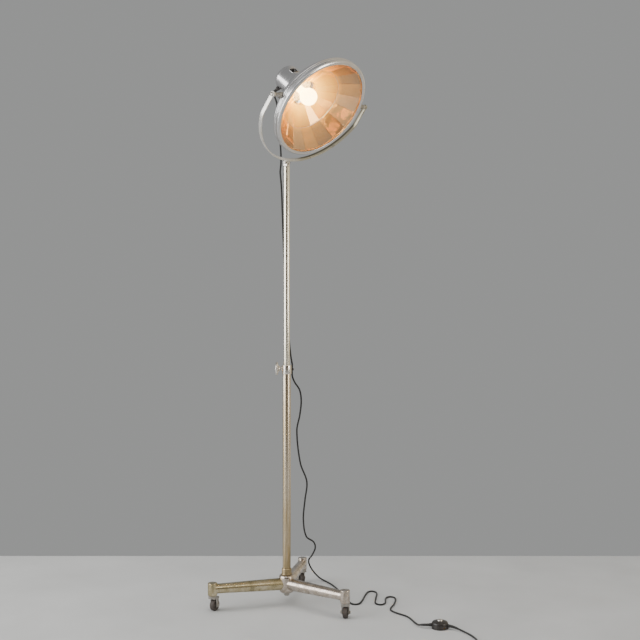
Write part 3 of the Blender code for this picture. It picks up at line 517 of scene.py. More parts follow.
def make_flex():
    braid = braid_finish()
    floor = FLOOR_LINE
    # head to yoke
    way_out = HEAD.to_3x3() @ Vector((0, -math.sin(GLAND_TURN), -math.cos(GLAND_TURN)))
    gland = HEAD @ Vector((GLAND_BACK, 0, 0))
    start = gland + way_out * (0.0465 + 0.0110 + 0.0003)
    head_run = [start, start + way_out * 0.012] + shifted([
        (-0.0345, -0.0090, 1.752), (-0.0310, -0.0010, 1.715), (-0.0265, 0.0040, 1.660),
        (-0.0225, 0.0060, 1.610), (-0.0205, 0.0090, 1.575)])
    swivel_run = shifted([(-0.0205, 0.0090, 1.575), (-0.0205, 0.0120, 1.545), (-0.0235, 0.0130, 1.512)])
    column_run = shifted([
        (-0.0235, 0.0130, 1.512), (-0.0190, 0.0160, 1.46), (-0.0160, 0.0185, 1.38),
        (-0.0125, 0.0210, 1.28), (-0.0070, 0.0230, 1.15), (-0.0010, 0.0240, 1.02),
        (0.0070, 0.0245, 0.93), (0.0140, 0.0220, 0.865), (0.0190, 0.0190, 0.838)])
    lower_run = shifted([
        (0.0190, 0.0190, 0.838), (0.0190, 0.0190, 0.798), (0.0270, 0.0240, 0.775),
        (0.0445, 0.0400, 0.745), (0.0500, 0.0520, 0.705), (0.0450, 0.0620, 0.655),
        (0.0340, 0.0780, 0.595), (0.0460, 0.1080, 0.475), (0.0690, 0.1250, 0.405),
        (0.0620, 0.1430, 0.335), (0.0560, 0.1690, 0.260), (0.0660, 0.1960, 0.192),
        (0.0930, 0.2180, 0.166), (0.0990, 0.2380, 0.140), (0.0880, 0.2620, 0.108),
        (0.0740, 0.2900, 0.078), (0.0850, 0.3080, 0.044), (0.1120, 0.3100, 0.012),
        (0.1460, 0.2700, floor), (0.1780, 0.1860, floor), (0.2225, 0.0040, floor),
        (0.2400, -0.0150, floor), (0.2575, 0.0040, floor), (0.2870, 0.1330, floor),
        (0.3035, 0.1510, floor), (0.3200, 0.1330, floor), (0.3150, 0.0650, floor),
        (0.3110, 0.0000, floor), (0.3275, -0.0180, floor), (0.3440, 0.0000, floor),
        (0.3505, 0.0620, floor), (0.3670, 0.0800, floor), (0.3835, 0.0620, floor),
        (0.3750, -0.0100, floor), (0.3590, -0.0700, floor), (0.3680, -0.1030, floor),
        (0.4120, -0.1600, floor), (0.4380, -0.2500, floor + 0.002), (0.4560, -0.2740, FLEX_HEIGHT)])
    lower_run.append(Vector((SWITCH.x - GROMMET_REACH, SWITCH.y, FLEX_HEIGHT)))
    turn = math.radians(SWITCH_TURNS[1])
    way = Vector((math.cos(turn), math.sin(turn), 0))
    leave = Vector((SWITCH.x, SWITCH.y, FLEX_HEIGHT)) + way * GROMMET_REACH
    mains_run = [leave, leave + way * 0.015 - Vector((0, 0, 0.003))] + shifted([
        (0.5860, -0.3270, floor), (0.6110, -0.3950, floor), (0.6100, -0.4450, floor)])
    mains_run.append(Vector((COIL.x - OUTER_TURN, COIL.y + 0.032, floor)))
    coil = coil_line()
    plug_low, plug_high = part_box("plug_body")
    plug_tail = Vector(((plug_low.x + plug_high.x) / 2, plug_low.y, (plug_low.z + plug_high.z) / 2))
    mains = smooth_route(mains_run + coil[:1], 0.004)[:-1] + coil
    last = coil[-1]
    corner = plug_tail - Vector((PLUG_TURN, PLUG_TURN, 0))
    out = smooth_route([last, last + Vector((0.022, 0, -0.002)), corner,
                        corner + Vector((0.707, 0.293, 0)) * PLUG_TURN, plug_tail,
                        plug_tail + Vector((0, 0.004, 0))], 0.004)
    mains += out[1:]
    column = smooth_route(column_run, 0.006)
    made = {}
    for name, route in (("flex_head", smooth_route(head_run, 0.004)),
                        ("flex_swivel", smooth_route(swivel_run, 0.004)),
                        ("flex_column", column[:JOIN_POINT + 1]), ("flex_slack", column[JOIN_POINT:]),
                        ("flex_lower", smooth_route(lower_run, 0.004)),
                        ("flex_mains", even_line(mains, 0.004))):
        route = [Vector((point.x, point.y, max(point.z, FLOOR_LINE))) for point in route]
        made[name] = (flex(name, route, braid), route)
    return made


FLEX = make_flex()


def declare(name, nodes):
    piece, line = FLEX[name]
    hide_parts(*nodes)
    return piece


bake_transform(FLEX["flex_head"][0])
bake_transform(FLEX["flex_swivel"][0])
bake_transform(FLEX["flex_column"][0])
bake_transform(FLEX["flex_slack"][0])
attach(FLEX["flex_lower"][0], "stand")
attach(FLEX["flex_mains"][0], "stand")


# ---------------------------------------------------------------- finishes

def spun_aluminium():
    made = Finish("aluminium_spun", Metallic=1.0)
    own = made.axis_frame(HEAD)
    rings = made.node("ShaderNodeTexWave", {"Vector": own, "Scale": 62.0, "Distortion": 0.6,
                      "Detail": 3.0, "Detail Scale": 2.0}, wave_type="RINGS", rings_direction="X",
                      wave_profile="SIN").outputs["Fac"]
    along = made.noise(240.0, 2.0, made.stretched((1.0, 0.04, 0.04), own))
    cloud = made.noise(9.0, 5.0, own)
    spots = made.noise(120.0, 4.0, own, 0.7)
    base = made.ramp(cloud, (0.30, (0.66, 0.65, 0.655)), (0.55, (0.78, 0.765, 0.77)),
                     (0.80, (0.86, 0.85, 0.86)))
    made.colour(made.mix(made.ramp(spots, (0.66, 0.0), (0.74, 0.5)), base, (0.33, 0.31, 0.28)))
    made.rough(made.ramp(along, (0.30, 0.18), (0.70, 0.32)))
    made.bump(made.mix(0.5, rings, along), 0.10, 0.0006)
    return made.material


def nickel(name, bright=(0.84, 0.80, 0.74), tarnish=(0.42, 0.34, 0.25), amount=0.35, low=0.12,
           high=0.30, specks=0.20, haze=0.35, drawn=0.02):
    """Polished nickel plate with drawn streaks along Z and warm tarnish."""
    made = Finish(name, Metallic=1.0)
    streak = made.noise(300.0, 2.0, made.stretched((1.0, 1.0, 0.03)))
    cloud = made.noise(26.0, 5.0, made.stretched((1.0, 1.0, 0.35)), 0.6)
    fleck = made.noise(520.0, 3.0, None, 0.7)
    amount_map = made.ramp(cloud, (0.46, 0.0), (0.78, amount))
    tone = made.mix(amount_map, bright, tarnish)
    made.colour(made.mix(made.ramp(fleck, (0.70, 0.0), (0.86, specks)), tone, (0.34, 0.27, 0.19)))
    made.rough(made.math("ADD", made.ramp(streak, (0.3, low), (0.7, high)),
                         made.math("MULTIPLY", amount_map, haze)))
    made.bump(streak, drawn, 0.0002)
    return made.material


def yoke_finish():
    """Nickel with painted shade: pale on one side of the bow; on the other side one half of the bar's width is
    painted dark olive shade and the other half a dull warm grey.
    """
    made = Finish("yoke_nickel", Metallic=0.66)
    own = made.axis_frame(YOKE)
    split = made.node("ShaderNodeSeparateXYZ", {"Vector": own}).outputs
    # painted shade: across the bar's width, one half painted dark olive and the other half dull warm grey
    painted_shade_half = made.ramp(made.math("MULTIPLY_ADD", split["X"], 50.0), (0.40, (0.10, 0.085, 0.052)),
                     (0.62, (0.46, 0.42, 0.31)))
    side = split["Y"]
    cloud = made.noise(30.0, 5.0)
    # painted shade: mask for the side of the bow that takes the shaded colours, broken up by the noise
    where = made.math("ADD", made.math("MULTIPLY", side, 3.2), made.math("MULTIPLY", cloud, 0.5))
    pale = made.ramp(cloud, (0.35, (0.86, 0.84, 0.81)), (0.75, (0.70, 0.66, 0.58)))
    tone = made.mix(made.ramp(where, (0.10, 0.0), (0.48, 1.0)), pale, painted_shade_half)
    fleck = made.noise(420.0, 3.0, None, 0.7)
    made.colour(made.mix(made.ramp(fleck, (0.66, 0.0), (0.78, 0.5)), tone, (0.20, 0.16, 0.11)))
    made.rough(made.ramp(cloud, (0.30, 0.24), (0.70, 0.42)))
    made.bump(made.noise(300.0, 2.0), 0.05, 0.0003)
    return made.material


def worn_nickel():
    """Nickel worn through to brass, more so towards the floor, with dark pits."""
    made = Finish("nickel_worn", Metallic=1.0)
    streak = made.noise(180.0, 3.0, made.stretched((1.0, 1.0, 0.02)))
    cloud = made.noise(30.0, 6.0, made.stretched((1.0, 1.0, 0.10)), 0.62)
    height = made.node("ShaderNodeSeparateXYZ", {"Vector": made.place}).outputs["Z"]
    lower = made.node("ShaderNodeMapRange", {"Value": height, "From Min": 0.1, "From Max": 0.85,
                      "To Min": 0.16, "To Max": -0.05}).outputs["Result"]
    wear = made.math("ADD", made.math("ADD", made.math("MULTIPLY", cloud, 0.72),
                     made.math("MULTIPLY", streak, 0.28)), lower)
    tone = made.ramp(wear, (0.36, (0.72, 0.66, 0.58)), (0.48, (0.62, 0.53, 0.41)),
                     (0.60, (0.45, 0.35, 0.20)), (0.74, (0.25, 0.20, 0.12)))
    pits = made.noise(420.0, 4.0, None, 0.75)
    made.colour(made.mix(made.ramp(pits, (0.62, 0.0), (0.78, 0.35)), tone, (0.14, 0.115, 0.075)))
    made.rough(made.ramp(wear, (0.35, 0.20), (0.75, 0.46)))
    made.bump(made.math("ADD", made.math("MULTIPLY", pits, 0.3), streak), 0.05, 0.0003)
    return made.material


def leg_finish(name, pale, brassy, dark):
    """Cast arm with rubbed plating: streaks along the arm, pits and grime."""
    made = Finish(name, Metallic=1.0)
    cloud = made.noise(34.0, 6.0, None, 0.62)
    grain = made.noise(210.0, 4.0, None, 0.6)
    wear = made.math("ADD", made.math("MULTIPLY", cloud, 0.7), made.math("MULTIPLY", grain, 0.3))
    tone = made.ramp(wear, (0.36, pale), (0.52, brassy), (0.68, dark))
    pits = made.noise(600.0, 3.0, None, 0.7)
    made.colour(made.mix(made.ramp(pits, (0.63, 0.0), (0.71, 0.75)), tone, (0.06, 0.05, 0.035)))
    made.rough(made.ramp(wear, (0.35, 0.15), (0.70, 0.38)))
    made.bump(made.math("ADD", grain, pits), 0.09, 0.0004)
    return made.material


def brushed(name, colour, dark, low, high, bump=0.1, metallic=1.0, scale=60.0):
    made = Finish(name, Metallic=metallic)
    cloud = made.noise(scale, 5.0, None, 0.6)
    grain = made.noise(scale * 9, 3.0)
    made.colour(made.ramp(cloud, (0.35, colour), (0.70, dark)))
    made.rough(made.ramp(grain, (0.3, low), (0.7, high)))
    made.bump(grain, bump, 0.0003)
    return made.material


def mirror_finish():
    """Old silvered mirror, each flat a little different, clouded, with a painted warm glow of lamplight near the
    lamp, made by emission.
    """
    made = Finish("mirror_glass", Metallic=0.94, Emission_Strength=6.0)
    facet = made.node("ShaderNodeAttribute", attribute_name="facet").outputs["Fac"]
    cloud = made.noise(16.0, 4.0)
    tone = made.ramp(facet, (0.0, (0.46, 0.27, 0.13)), (0.35, (0.84, 0.50, 0.20)),
                     (0.65, (0.44, 0.32, 0.20)), (1.0, (0.92, 0.66, 0.38)))
    made.colour(made.mix(made.ramp(cloud, (0.45, 0.0), (0.80, 0.35)), tone, (0.34, 0.20, 0.10)))
    made.rough(made.ramp(cloud, (0.30, 0.03), (0.80, 0.10)))
    # painted light: the mirrors glow warm by emission, strongest near the bulb and fading with distance from it
    own = made.node("ShaderNodeVectorMath", {0: made.axis_frame(HEAD), 1: LAMP_MIDDLE},
                    operation="DISTANCE").outputs["Value"]
    glow = made.ramp(made.math("MULTIPLY", own, 5.0), (0.18, (0.98, 0.46, 0.03)),
                     (0.40, (0.40, 0.155, 0.006)), (0.64, (0.060, 0.020, 0.0008)), (0.95, (0.0, 0.0, 0.0)))
    made.put(made.shader.inputs["Emission Color"], glow)
    made.bump(made.noise(22.0, 1.0), 0.05, 0.002)
    return made.material


LAMP_MIDDLE = (-0.034, 0.0, 0.0)    # the bulb's middle in the head's own frame


def clear_glass():
    made = Finish("clear_glass", Roughness=0.01, IOR=1.45, Transmission_Weight=1.0)
    made.colour(made.ramp(made.noise(8.0, 2.0), (0.3, (0.97, 0.985, 0.98)), (0.7, (0.985, 0.99, 0.985))))
    return made.material


def lamp_finish():
    made = Finish("lamp_glass", Roughness=0.15, Emission_Strength=60.0)
    own = made.axis_frame(HEAD)
    glow = made.ramp(made.noise(20.0, 1.0, own), (0.3, (1.0, 0.66, 0.26)), (0.7, (1.0, 0.74, 0.36)))
    made.put(made.shader.inputs["Emission Color"], glow)
    made.colour((1.0, 0.9, 0.7))
    return made.material


def dark_plastic(name, colour, worn, low, high):
    made = Finish(name)
    cloud = made.noise(45.0, 5.0, None, 0.65)
    scratch = made.noise(700.0, 2.0, made.stretched((1.0, 0.2, 1.0)))
    made.colour(made.mix(made.ramp(cloud, (0.45, 0.0), (0.75, 1.0)), colour, worn))
    made.rough(made.ramp(cloud, (0.3, low), (0.7, high)))
    made.bump(scratch, 0.06, 0.0003)
    return made.material


ALUMINIUM = spun_aluminium()
NICKEL = nickel("nickel_bright")
WORN = worn_nickel()
LEG_BRASSY = leg_finish("leg_brassy", (0.66, 0.58, 0.43), (0.47, 0.40, 0.24), (0.22, 0.19, 0.12))
LEG_SILVER = leg_finish("leg_silver", (0.72, 0.66, 0.61), (0.52, 0.45, 0.38), (0.27, 0.23, 0.19))
STEEL = brushed("steel", (0.48, 0.46, 0.43), (0.27, 0.24, 0.20), 0.28, 0.48)
BRASS = brushed("brass", (0.70, 0.54, 0.28), (0.45, 0.33, 0.16), 0.22, 0.42)
MIRROR = mirror_finish()
GLASS = clear_glass()
LAMP = lamp_finish()
PORCELAIN = brushed("porcelain", (0.80, 0.77, 0.70), (0.66, 0.62, 0.54), 0.12, 0.28, 0.03, 0.0)
AMBER = brushed("gasket_amber", (0.80, 0.42, 0.12), (0.62, 0.30, 0.08), 0.35, 0.55, 0.05, 0.0)
TYRE = dark_plastic("wheel_rubber", (0.050, 0.040, 0.034), (0.115, 0.095, 0.080), 0.55, 0.80)
BLACK = dark_plastic("black_plastic", (0.018, 0.015, 0.013), (0.050, 0.042, 0.036), 0.25, 0.45)
RUBBER = dark_plastic("rubber", (0.020, 0.019, 0.018), (0.040, 0.037, 0.034), 0.60, 0.85)

NODE_FINISH = {
    "nickel_bright": NICKEL, "nickel_worn": WORN, "aluminium_spun": ALUMINIUM,
    "mirror_glass": MIRROR, "clear_glass": GLASS, "lamp_glass": LAMP, "brass": BRASS,
    "steel": STEEL, "wheel_rubber": TYRE, "porcelain": PORCELAIN, "black_plastic": BLACK,
    "rubber": RUBBER, "cotton_braid": RUBBER}
SLOT_OF = {row["node"]: row["material_slot"] for row in frame["record"]["subparts"]}
for node_name, node in frame["nodes"].items():
    finish = NODE_FINISH[SLOT_OF[node_name]]
    if node_name == "leg_left":
        finish = LEG_BRASSY
    if node_name in ("leg_right", "leg_rear", "base_hub"):
        finish = LEG_SILVER
    node.data.materials.clear()
    node.data.materials.append(finish)


# ---------------------------------------------------------------- lamp head

GAP = 0.0003
RIM_RADIUS, BEZEL_FRONT, BEZEL_BACK, GLASS_FRONT = 0.1860, 0.0500, 0.0286, 0.0465
OPENING = 0.1715
CAP_RADIUS, CAP_FRONT, CAP_BACK = 0.0465, -0.0840, -0.1760
FACETS = 18


def arc_points(centre, radius, start, end, steps):
    return [(centre[0] + radius * math.cos(math.radians(start + (end - start) * step / steps)),
             centre[1] + radius * math.sin(math.radians(start + (end - start) * step / steps)))
            for step in range(steps + 1)]


def on_head(along, radius, angle):
    """A point of the head from its place along the axis, its radius and its angle from the top."""
    return HEAD @ Vector((along, -radius * math.sin(angle), radius * math.cos(angle)))


def make_shell():
    front, back = Vector((0.1755, 0.0180, 0)), Vector((0.0560, -0.0780, 0))
    side = [(point.x, point.y) for point in interpolate_bezier(
        front, front + Vector((-0.014, -0.030, 0)), back + Vector((0.052, 0.026, 0)), back, 30)]
    bead = arc_points((0.1800, 0.0236), 0.0047, 82, -70, 10)
    outline = bead + side
    outline += filleted([(0.0485, -0.0840), (0.0485, -0.0945), (0.0494, -0.0962), (0.0488, -0.0980),
                         (0.0470, -0.0980), (0.0470, -0.0832)], 0.0006, closed=False)
    outline += [(radius - 0.0015, along) for radius, along in reversed(side)]
    outline += [(0.1775, 0.0200), (0.1775, 0.0283)]
    shell = lathe("head_shell_spun", outline, HEAD, ALUMINIUM, "head", segments=120)
    stand_for(shell, "aluminium_spun", "head_shell")
    bezel = lathe("bezel_rolled", [
        (0.1808, BEZEL_BACK), (RIM_RADIUS - 0.0006, BEZEL_BACK), (RIM_RADIUS, BEZEL_BACK + 0.0012),
        (RIM_RADIUS, 0.0335), (RIM_RADIUS - 0.0011, 0.0345), (RIM_RADIUS - 0.0011, 0.0360),
        (RIM_RADIUS, 0.0370), (RIM_RADIUS - 0.0008, BEZEL_FRONT - 0.0035),
        (RIM_RADIUS - 0.0060, BEZEL_FRONT), (OPENING + 0.0030, BEZEL_FRONT - 0.0008),
        (OPENING, BEZEL_FRONT - 0.0016), (OPENING, GLASS_FRONT + GAP), (0.1808, GLASS_FRONT + GAP)],
        HEAD, ALUMINIUM, "head", segments=120, round_by=0.0014)
    stand_for(bezel, "aluminium_spun", "bezel_ring")
    for turn in SCREW_TURNS:
        place = on_head(0.0420, RIM_RADIUS - 0.0006, turn)
        out = (on_head(0.0420, 0.3, turn) - place).normalized()
        screw = lathe("bezel_screw_" + str(SCREW_TURNS.index(turn) + 1), [
            (0, -0.0012), (0.0032, -0.0012), (0.0034, 0.0006), (0.0024, 0.0018), (0, 0.0021)],
            aimed(place, out), STEEL, None, segments=28, round_by=0.0005)
        slot_cut = block("slot", (0.0011, -0.0005, -0.0060), (0.0040, 0.0005, 0.0060),
                         aimed(place, out), None, None)
        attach(carve(screw, slot_cut), "head")


SCREW_TURNS = tuple(math.radians(angle) for angle in (28, 148, 268))


def make_cap():
    middle = CAP_BACK + 0.018
    corner = [(CAP_RADIUS - 0.018 + x, middle + y) for x, y in arc_points((0, 0), 0.018, 0, -90, 12)]
    hollow = [(CAP_RADIUS - 0.018 + x, middle + y) for x, y in arc_points((0, 0), 0.0167, -90, 0, 12)]
    cap = lathe("rear_cap_spun", [(CAP_RADIUS - 0.0013, CAP_FRONT), (CAP_RADIUS, CAP_FRONT)] + corner
                + [(0, CAP_BACK), (0, CAP_BACK + 0.0013)] + hollow, HEAD, ALUMINIUM, None, segments=96)
    for number, turn in enumerate((VENT_TURN, math.pi + VENT_TURN)):
        own = HEAD @ Matrix.Rotation(turn, 4, "X")
        carve(cap, block("vent_cut", (VENT_BACK, -VENT_HALF, 0.030), (VENT_FRONT, VENT_HALF, 0.060),
                         own, None, None, bevel=0.0030, segments=3))
        rim = []
        for along, half in ((VENT_BACK, 1), (VENT_FRONT, 1), (VENT_FRONT, -1), (VENT_BACK, -1)):
            rim.append((along, half * VENT_HALF / CAP_RADIUS))
        loop = []
        for index, (along, angle) in enumerate(rim):
            after = rim[(index + 1) % 4]
            for step in range(8):
                t = 0.10 + 0.8 * step / 7
                place = along + (after[0] - along) * t
                bend = angle + (after[1] - angle) * t
                loop.append(own @ Vector((place, -CAP_RADIUS * math.sin(bend), CAP_RADIUS * math.cos(bend))))
        loop = loop + loop[:2]
        lip = link(f"vent_lip_{number + 1}", tube_mesh("vent_lip", loop, 0.0011, 8), ALUMINIUM)
        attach(lip, "head")
    gland = HEAD @ Matrix.Translation((GLAND_BACK, 0, 0)) @ Matrix.Rotation(math.pi - GLAND_TURN, 4, "X")
    carve(cap, rod(0.0055, 0.030, 0.060, gland @ UPRIGHT, 28))
    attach(cap, "head")
    stand_for(cap, "aluminium_spun", "rear_cap")
    nut = lathe("gland_nut", [
        (0.0034, 0.0440), (0.0052, 0.0440), (0.0052, CAP_RADIUS + 0.0006), (0.0080, CAP_RADIUS + 0.0008),
        (0.0080, CAP_RADIUS + 0.0048), (0.0062, CAP_RADIUS + 0.0060), (0.0052, CAP_RADIUS + 0.0110),
        (0.0034, CAP_RADIUS + 0.0110)], gland @ UPRIGHT, BLACK, "head", segments=36, round_by=0.0005)
    stand_for(nut, "black_plastic", "cord_gland")


VENT_TURN = math.radians(18)
VENT_BACK, VENT_FRONT, VENT_HALF = -0.1450, -0.1200, 0.0135


def make_mirrors():
    """Flat trapezoid mirrors side by side in two rings, each bevelled and a hair apart."""
    wall, joint = 0.0022, 0.00035
    step = math.tau / FACETS
    for name, node, front, back, seed in (
            ("mirrors_front", "reflector_front_mirrors", (OPENING, 0.0388), (0.1150, -0.0145), 3),
            ("mirrors_rear", "reflector_rear_mirrors", (0.1135, -0.0165), (0.0480, -0.0560), 8)):
        bm = bmesh.new()
        shade = bm.faces.layers.float.new("facet")
        for index in range(FACETS):
            edges = []
            for radius, along in (front, back):
                for angle in (index * step, (index + 1) * step):
                    edges.append(Vector((along, radius * math.cos(angle), radius * math.sin(angle))))
            a, b, d, c = edges
            across = (b - a).normalized() * joint
            inner = [a + across, b - across, c - across, d + across]
            normal = (b - a).cross(d - a).normalized()
            if normal.y * a.y + normal.z * a.z < 0:
                normal = -normal
            outer = [point + normal * wall for point in inner]
            low = [bm.verts.new(point) for point in inner]
            high = [bm.verts.new(point) for point in outer]
            faces = [bm.faces.new(low), bm.faces.new(high[::-1])]
            for corner in range(4):
                after = (corner + 1) % 4
                faces.append(bm.faces.new((low[corner], high[corner], high[after], low[after])))
            value = ((index * 7 + seed * 5) % 18 + 0.5 * ((index + seed) % 2)) / 18
            for face in faces:
                face[shade] = value
        bmesh.ops.bevel(bm, geom=list(bm.edges), offset=0.0005, segments=1, affect="EDGES")
        tier = finished(name, bm, HEAD, MIRROR, "head", smooth=20)
        stand_for(tier, "mirror_glass", node)


def make_rings():
    """The bright bead between the two rings of mirrors, and the amber gasket behind the glass."""
    bead = lathe("mirror_bead", arc_points((0.1141, -0.0156), 0.0013, 0, 330, 11), HEAD, ALUMINIUM,
                 "head", segments=108)
    gasket = lathe("gasket_amber", [
        (OPENING - 0.0012, 0.0395), (0.1800, 0.0395), (0.1800, 0.0422), (OPENING - 0.0012, 0.0422)],
        HEAD, AMBER, "head", segments=108, round_by=0.0008)
    stand_for(gasket, "rubber", "glass_gasket")


def make_lamp():
    globe = arc_points((0, -0.0340), 0.0300, 90, -55, 22)
    neck = [(0.0150, -0.0680), (0.0128, -0.0760), (0.0125, -0.0830), (0.0125, -0.0962)]
    bulb = lathe("lamp_bulb", [(0, -0.0040)] + globe[1:] + neck + [(0, -0.0962)], HEAD, LAMP, "head",
                 segments=64, smooth=80)
    stand_for(bulb, "lamp_glass", "lamp_glass")


def taper(name, line, body, first=0.0050, last=0.0034):
    """A moulded sleeve round the flex where it leaves a housing, with a fine rib on every other ring."""
    bm = bmesh.new()
    radii = [first + (last - first) * index / (len(line) - 1) + 0.0003 * (index % 2)
             for index in range(len(line))]
    skin(bm, tube_rings(bm, line, radii, Vector((0.31, 0.64, 0.70)), 20))
    made = finished(name, bm, None, RUBBER, body, smooth=60)
    return made


def part_of(line, length, from_end=False):
    line = line[::-1] if from_end else line
    run, kept = 0.0, [line[0]]
    for first, second in zip(line, line[1:]):
        run += (second - first).length
        kept.append(second)
        if run >= length:
            break
    return even_line(kept, 0.0022)


# ---------------------------------------------------------------- yoke and trunnions

BAR_WIDTH, BAR_THICK, EYE_THICK = 0.015, 0.004, 0.0046
BAR_DROP, BOW_RADIUS, ARM_HALF_SPAN, ARM_CORNER = 0.0125, 0.2455, 0.233, 0.060
TRUNNION_HEIGHT = BAR_DROP + BOW_RADIUS


def across(place):
    """A frame on the trunnion axis whose X runs along it, outwards, from the side that place says."""
    turn = Matrix.Rotation(math.radians(90 if place > 0 else -90), 4, "Z")
    return TRUNNION @ turn


def make_yoke():
    inset = ARM_HALF_SPAN - ARM_CORNER
    drop = math.sqrt((BOW_RADIUS - ARM_CORNER) ** 2 - inset ** 2)
    meet = math.degrees(math.atan2(drop, inset))
    bow = arc_points((0, TRUNNION_HEIGHT), BOW_RADIUS, 270, 360 - meet, 60)
    corner = arc_points((inset, TRUNNION_HEIGHT - drop), ARM_CORNER, -meet, 0, 16)
    half = bow + corner[1:] + [(ARM_HALF_SPAN, TRUNNION_HEIGHT - 0.012),
                               (ARM_HALF_SPAN, TRUNNION_HEIGHT + 0.0011)]
    line = [(-y, z) for y, z in reversed(half)] + half[1:]
    section = filleted([(-BAR_WIDTH / 2, -BAR_THICK / 2), (BAR_WIDTH / 2, -BAR_THICK / 2),
                        (BAR_WIDTH / 2, BAR_THICK / 2), (-BAR_WIDTH / 2, BAR_THICK / 2)], 0.0011)
    bm = bmesh.new()
    rings = []
    for index, (y, z) in enumerate(line):
        before, after = line[max(index - 1, 0)], line[min(index + 1, len(line) - 1)]
        tangent = Vector((0, after[0] - before[0], after[1] - before[1])).normalized()
        out = tangent.cross(Vector((1, 0, 0)))
        rings.append([bm.verts.new(Vector((0, y, z)) + Vector((1, 0, 0)) * wide + out * thick)
                      for wide, thick in section])
    skin(bm, rings)
    yoke = finished("yoke_bow_bar", bm, YOKE, YOKE_NICKEL, None)
    for hand in (-1, 1):
        carve(yoke, rod(0.0092, ARM_HALF_SPAN - EYE_THICK / 2, ARM_HALF_SPAN + EYE_THICK / 2,
                        across(hand), 46, YOKE_NICKEL, 0.0008), "UNION")
        carve(yoke, rod(0.0040, ARM_HALF_SPAN - 0.01, ARM_HALF_SPAN + 0.01, across(hand), 31))
    lug = block("lug", (-0.0058, -0.0025, 0), (0.0058, 0.0025, BAR_DROP), YOKE, YOKE_NICKEL, None)
    carve(yoke, lug, "UNION")
    carve(yoke, rod(0.0060, -0.0027, 0.0027, YOKE @ Matrix.Rotation(math.radians(90), 4, "Z"), 33,
                    YOKE_NICKEL), "UNION")
    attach(yoke, "yoke")
    stand_for(yoke, "nickel_bright", "yoke_bow")
    outer = ARM_HALF_SPAN + EYE_THICK / 2
    for name, hand in (("left", -1), ("right", 1)):
        own = across(hand)
        screw = lathe(f"trunnion_{name}_bolt", [
            (0, 0.2010), (0.0037, 0.2010), (0.0037, outer + GAP), (0.0068, outer + GAP),
            (0.0073, outer + 0.0010), (0.0066, outer + 0.0032), (0.0040, outer + 0.0043),
            (0, outer + 0.0045)], own, STEEL, None, segments=44, round_by=0.0005)
        cut = block("slot", (outer + 0.0024, -0.0007, -0.012), (outer + 0.0080, 0.0007, 0.012), own,
                    None, None)
        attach(carve(screw, cut), "yoke")
        stand_for(screw, "steel", f"trunnion_{name}_screw")


# ---------------------------------------------------------------- column and clamp

LOWER_RADIUS, LOWER_WALL, LOWER_BOTTOM, LOWER_TOP = 0.014, 0.0015, 0.062, 0.832
INNER_RADIUS, INNER_WALL, INNER_BOTTOM, INNER_TOP = 0.01075, 0.0012, 0.700, 1.5305
COLLAR_BOTTOM, COLLAR_TOP, COLLAR_RADIUS = 0.806, 0.837, 0.0165
CLAMP_HEIGHT, KNOB_RADIUS = 0.8245, 0.0235


def make_column():
    own = upright(COLUMN.x, COLUMN.y)
    lower = lathe("lower_tube_worn", [
        (LOWER_RADIUS - LOWER_WALL, LOWER_BOTTOM), (LOWER_RADIUS, LOWER_BOTTOM),
        (LOWER_RADIUS, LOWER_TOP), (LOWER_RADIUS - LOWER_WALL, LOWER_TOP)], own, WORN, "stand",
        segments=64, round_by=0.0005)
    stand_for(lower, "nickel_worn", "lower_tube")
    inner = lathe("inner_tube_plated", [
        (INNER_RADIUS - INNER_WALL, INNER_BOTTOM), (INNER_RADIUS, INNER_BOTTOM),
        (INNER_RADIUS, INNER_TOP), (INNER_RADIUS - INNER_WALL, INNER_TOP)], own, TUBE_NICKEL,
        "inner_column", segments=64, round_by=0.0004)
    stand_for(inner, "nickel_bright", "inner_tube")
    level = Matrix.Translation((COLUMN.x, COLUMN.y, CLAMP_HEIGHT)) @ Matrix.Rotation(math.pi, 4, "Z")
    collar = lathe("clamp_collar_turned", [
        (LOWER_RADIUS + GAP, COLLAR_BOTTOM), (COLLAR_RADIUS, COLLAR_BOTTOM), (COLLAR_RADIUS, COLLAR_TOP),
        (INNER_RADIUS + GAP, COLLAR_TOP), (INNER_RADIUS + GAP, LOWER_TOP + GAP),
        (LOWER_RADIUS + GAP, LOWER_TOP + GAP)], own, NICKEL, None, segments=64, round_by=0.0018)
    carve(collar, rod(0.0075, 0.0152, 0.0200, level, 37, NICKEL, 0.0008), "UNION")
    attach(carve(collar, rod(0.0033, 0.0090, 0.0300, level, 25)), "stand")
    stand_for(collar, "nickel_bright", "clamp_collar")
    knob = lathe("clamp_knob_turned", [
        (0.0033, 0.0222), (0.0070, 0.0222), (0.0085, 0.0262), (0.0120, 0.0290), (0.0215, 0.0312),
        (KNOB_RADIUS, 0.0330), (KNOB_RADIUS, 0.0370), (0.0225, 0.0385), (0.0200, 0.0385),
        (0.0170, 0.0365), (0.0040, 0.0358), (0.0033, 0.0350)], level, NICKEL, "clamp_handle",
        segments=90, round_by=0.0009)
    stand_for(knob, "nickel_bright", "clamp_knob")


# ---------------------------------------------------------------- base and casters

HUB_RADIUS, HUB_BOTTOM, HUB_TOP = 0.027, 0.040, 0.104
PIVOT_RADIUS, LEG_ROOT_RADIUS, LEG_END_RADIUS = 0.266, 0.0205, 0.0165
LEG_ROOT_HEIGHT, LEG_END_HEIGHT = 0.072, 0.077
BOSS_RADIUS, BOSS_BOTTOM, BOSS_TOP = 0.0165, 0.055, 0.098
STEM_RADIUS, WHEEL_RADIUS, WHEEL_WIDTH = 0.0055, 0.020, 0.016
LEG_AZIMUTHS = {"rear": 78.9, "left": 198.9, "right": 318.9}


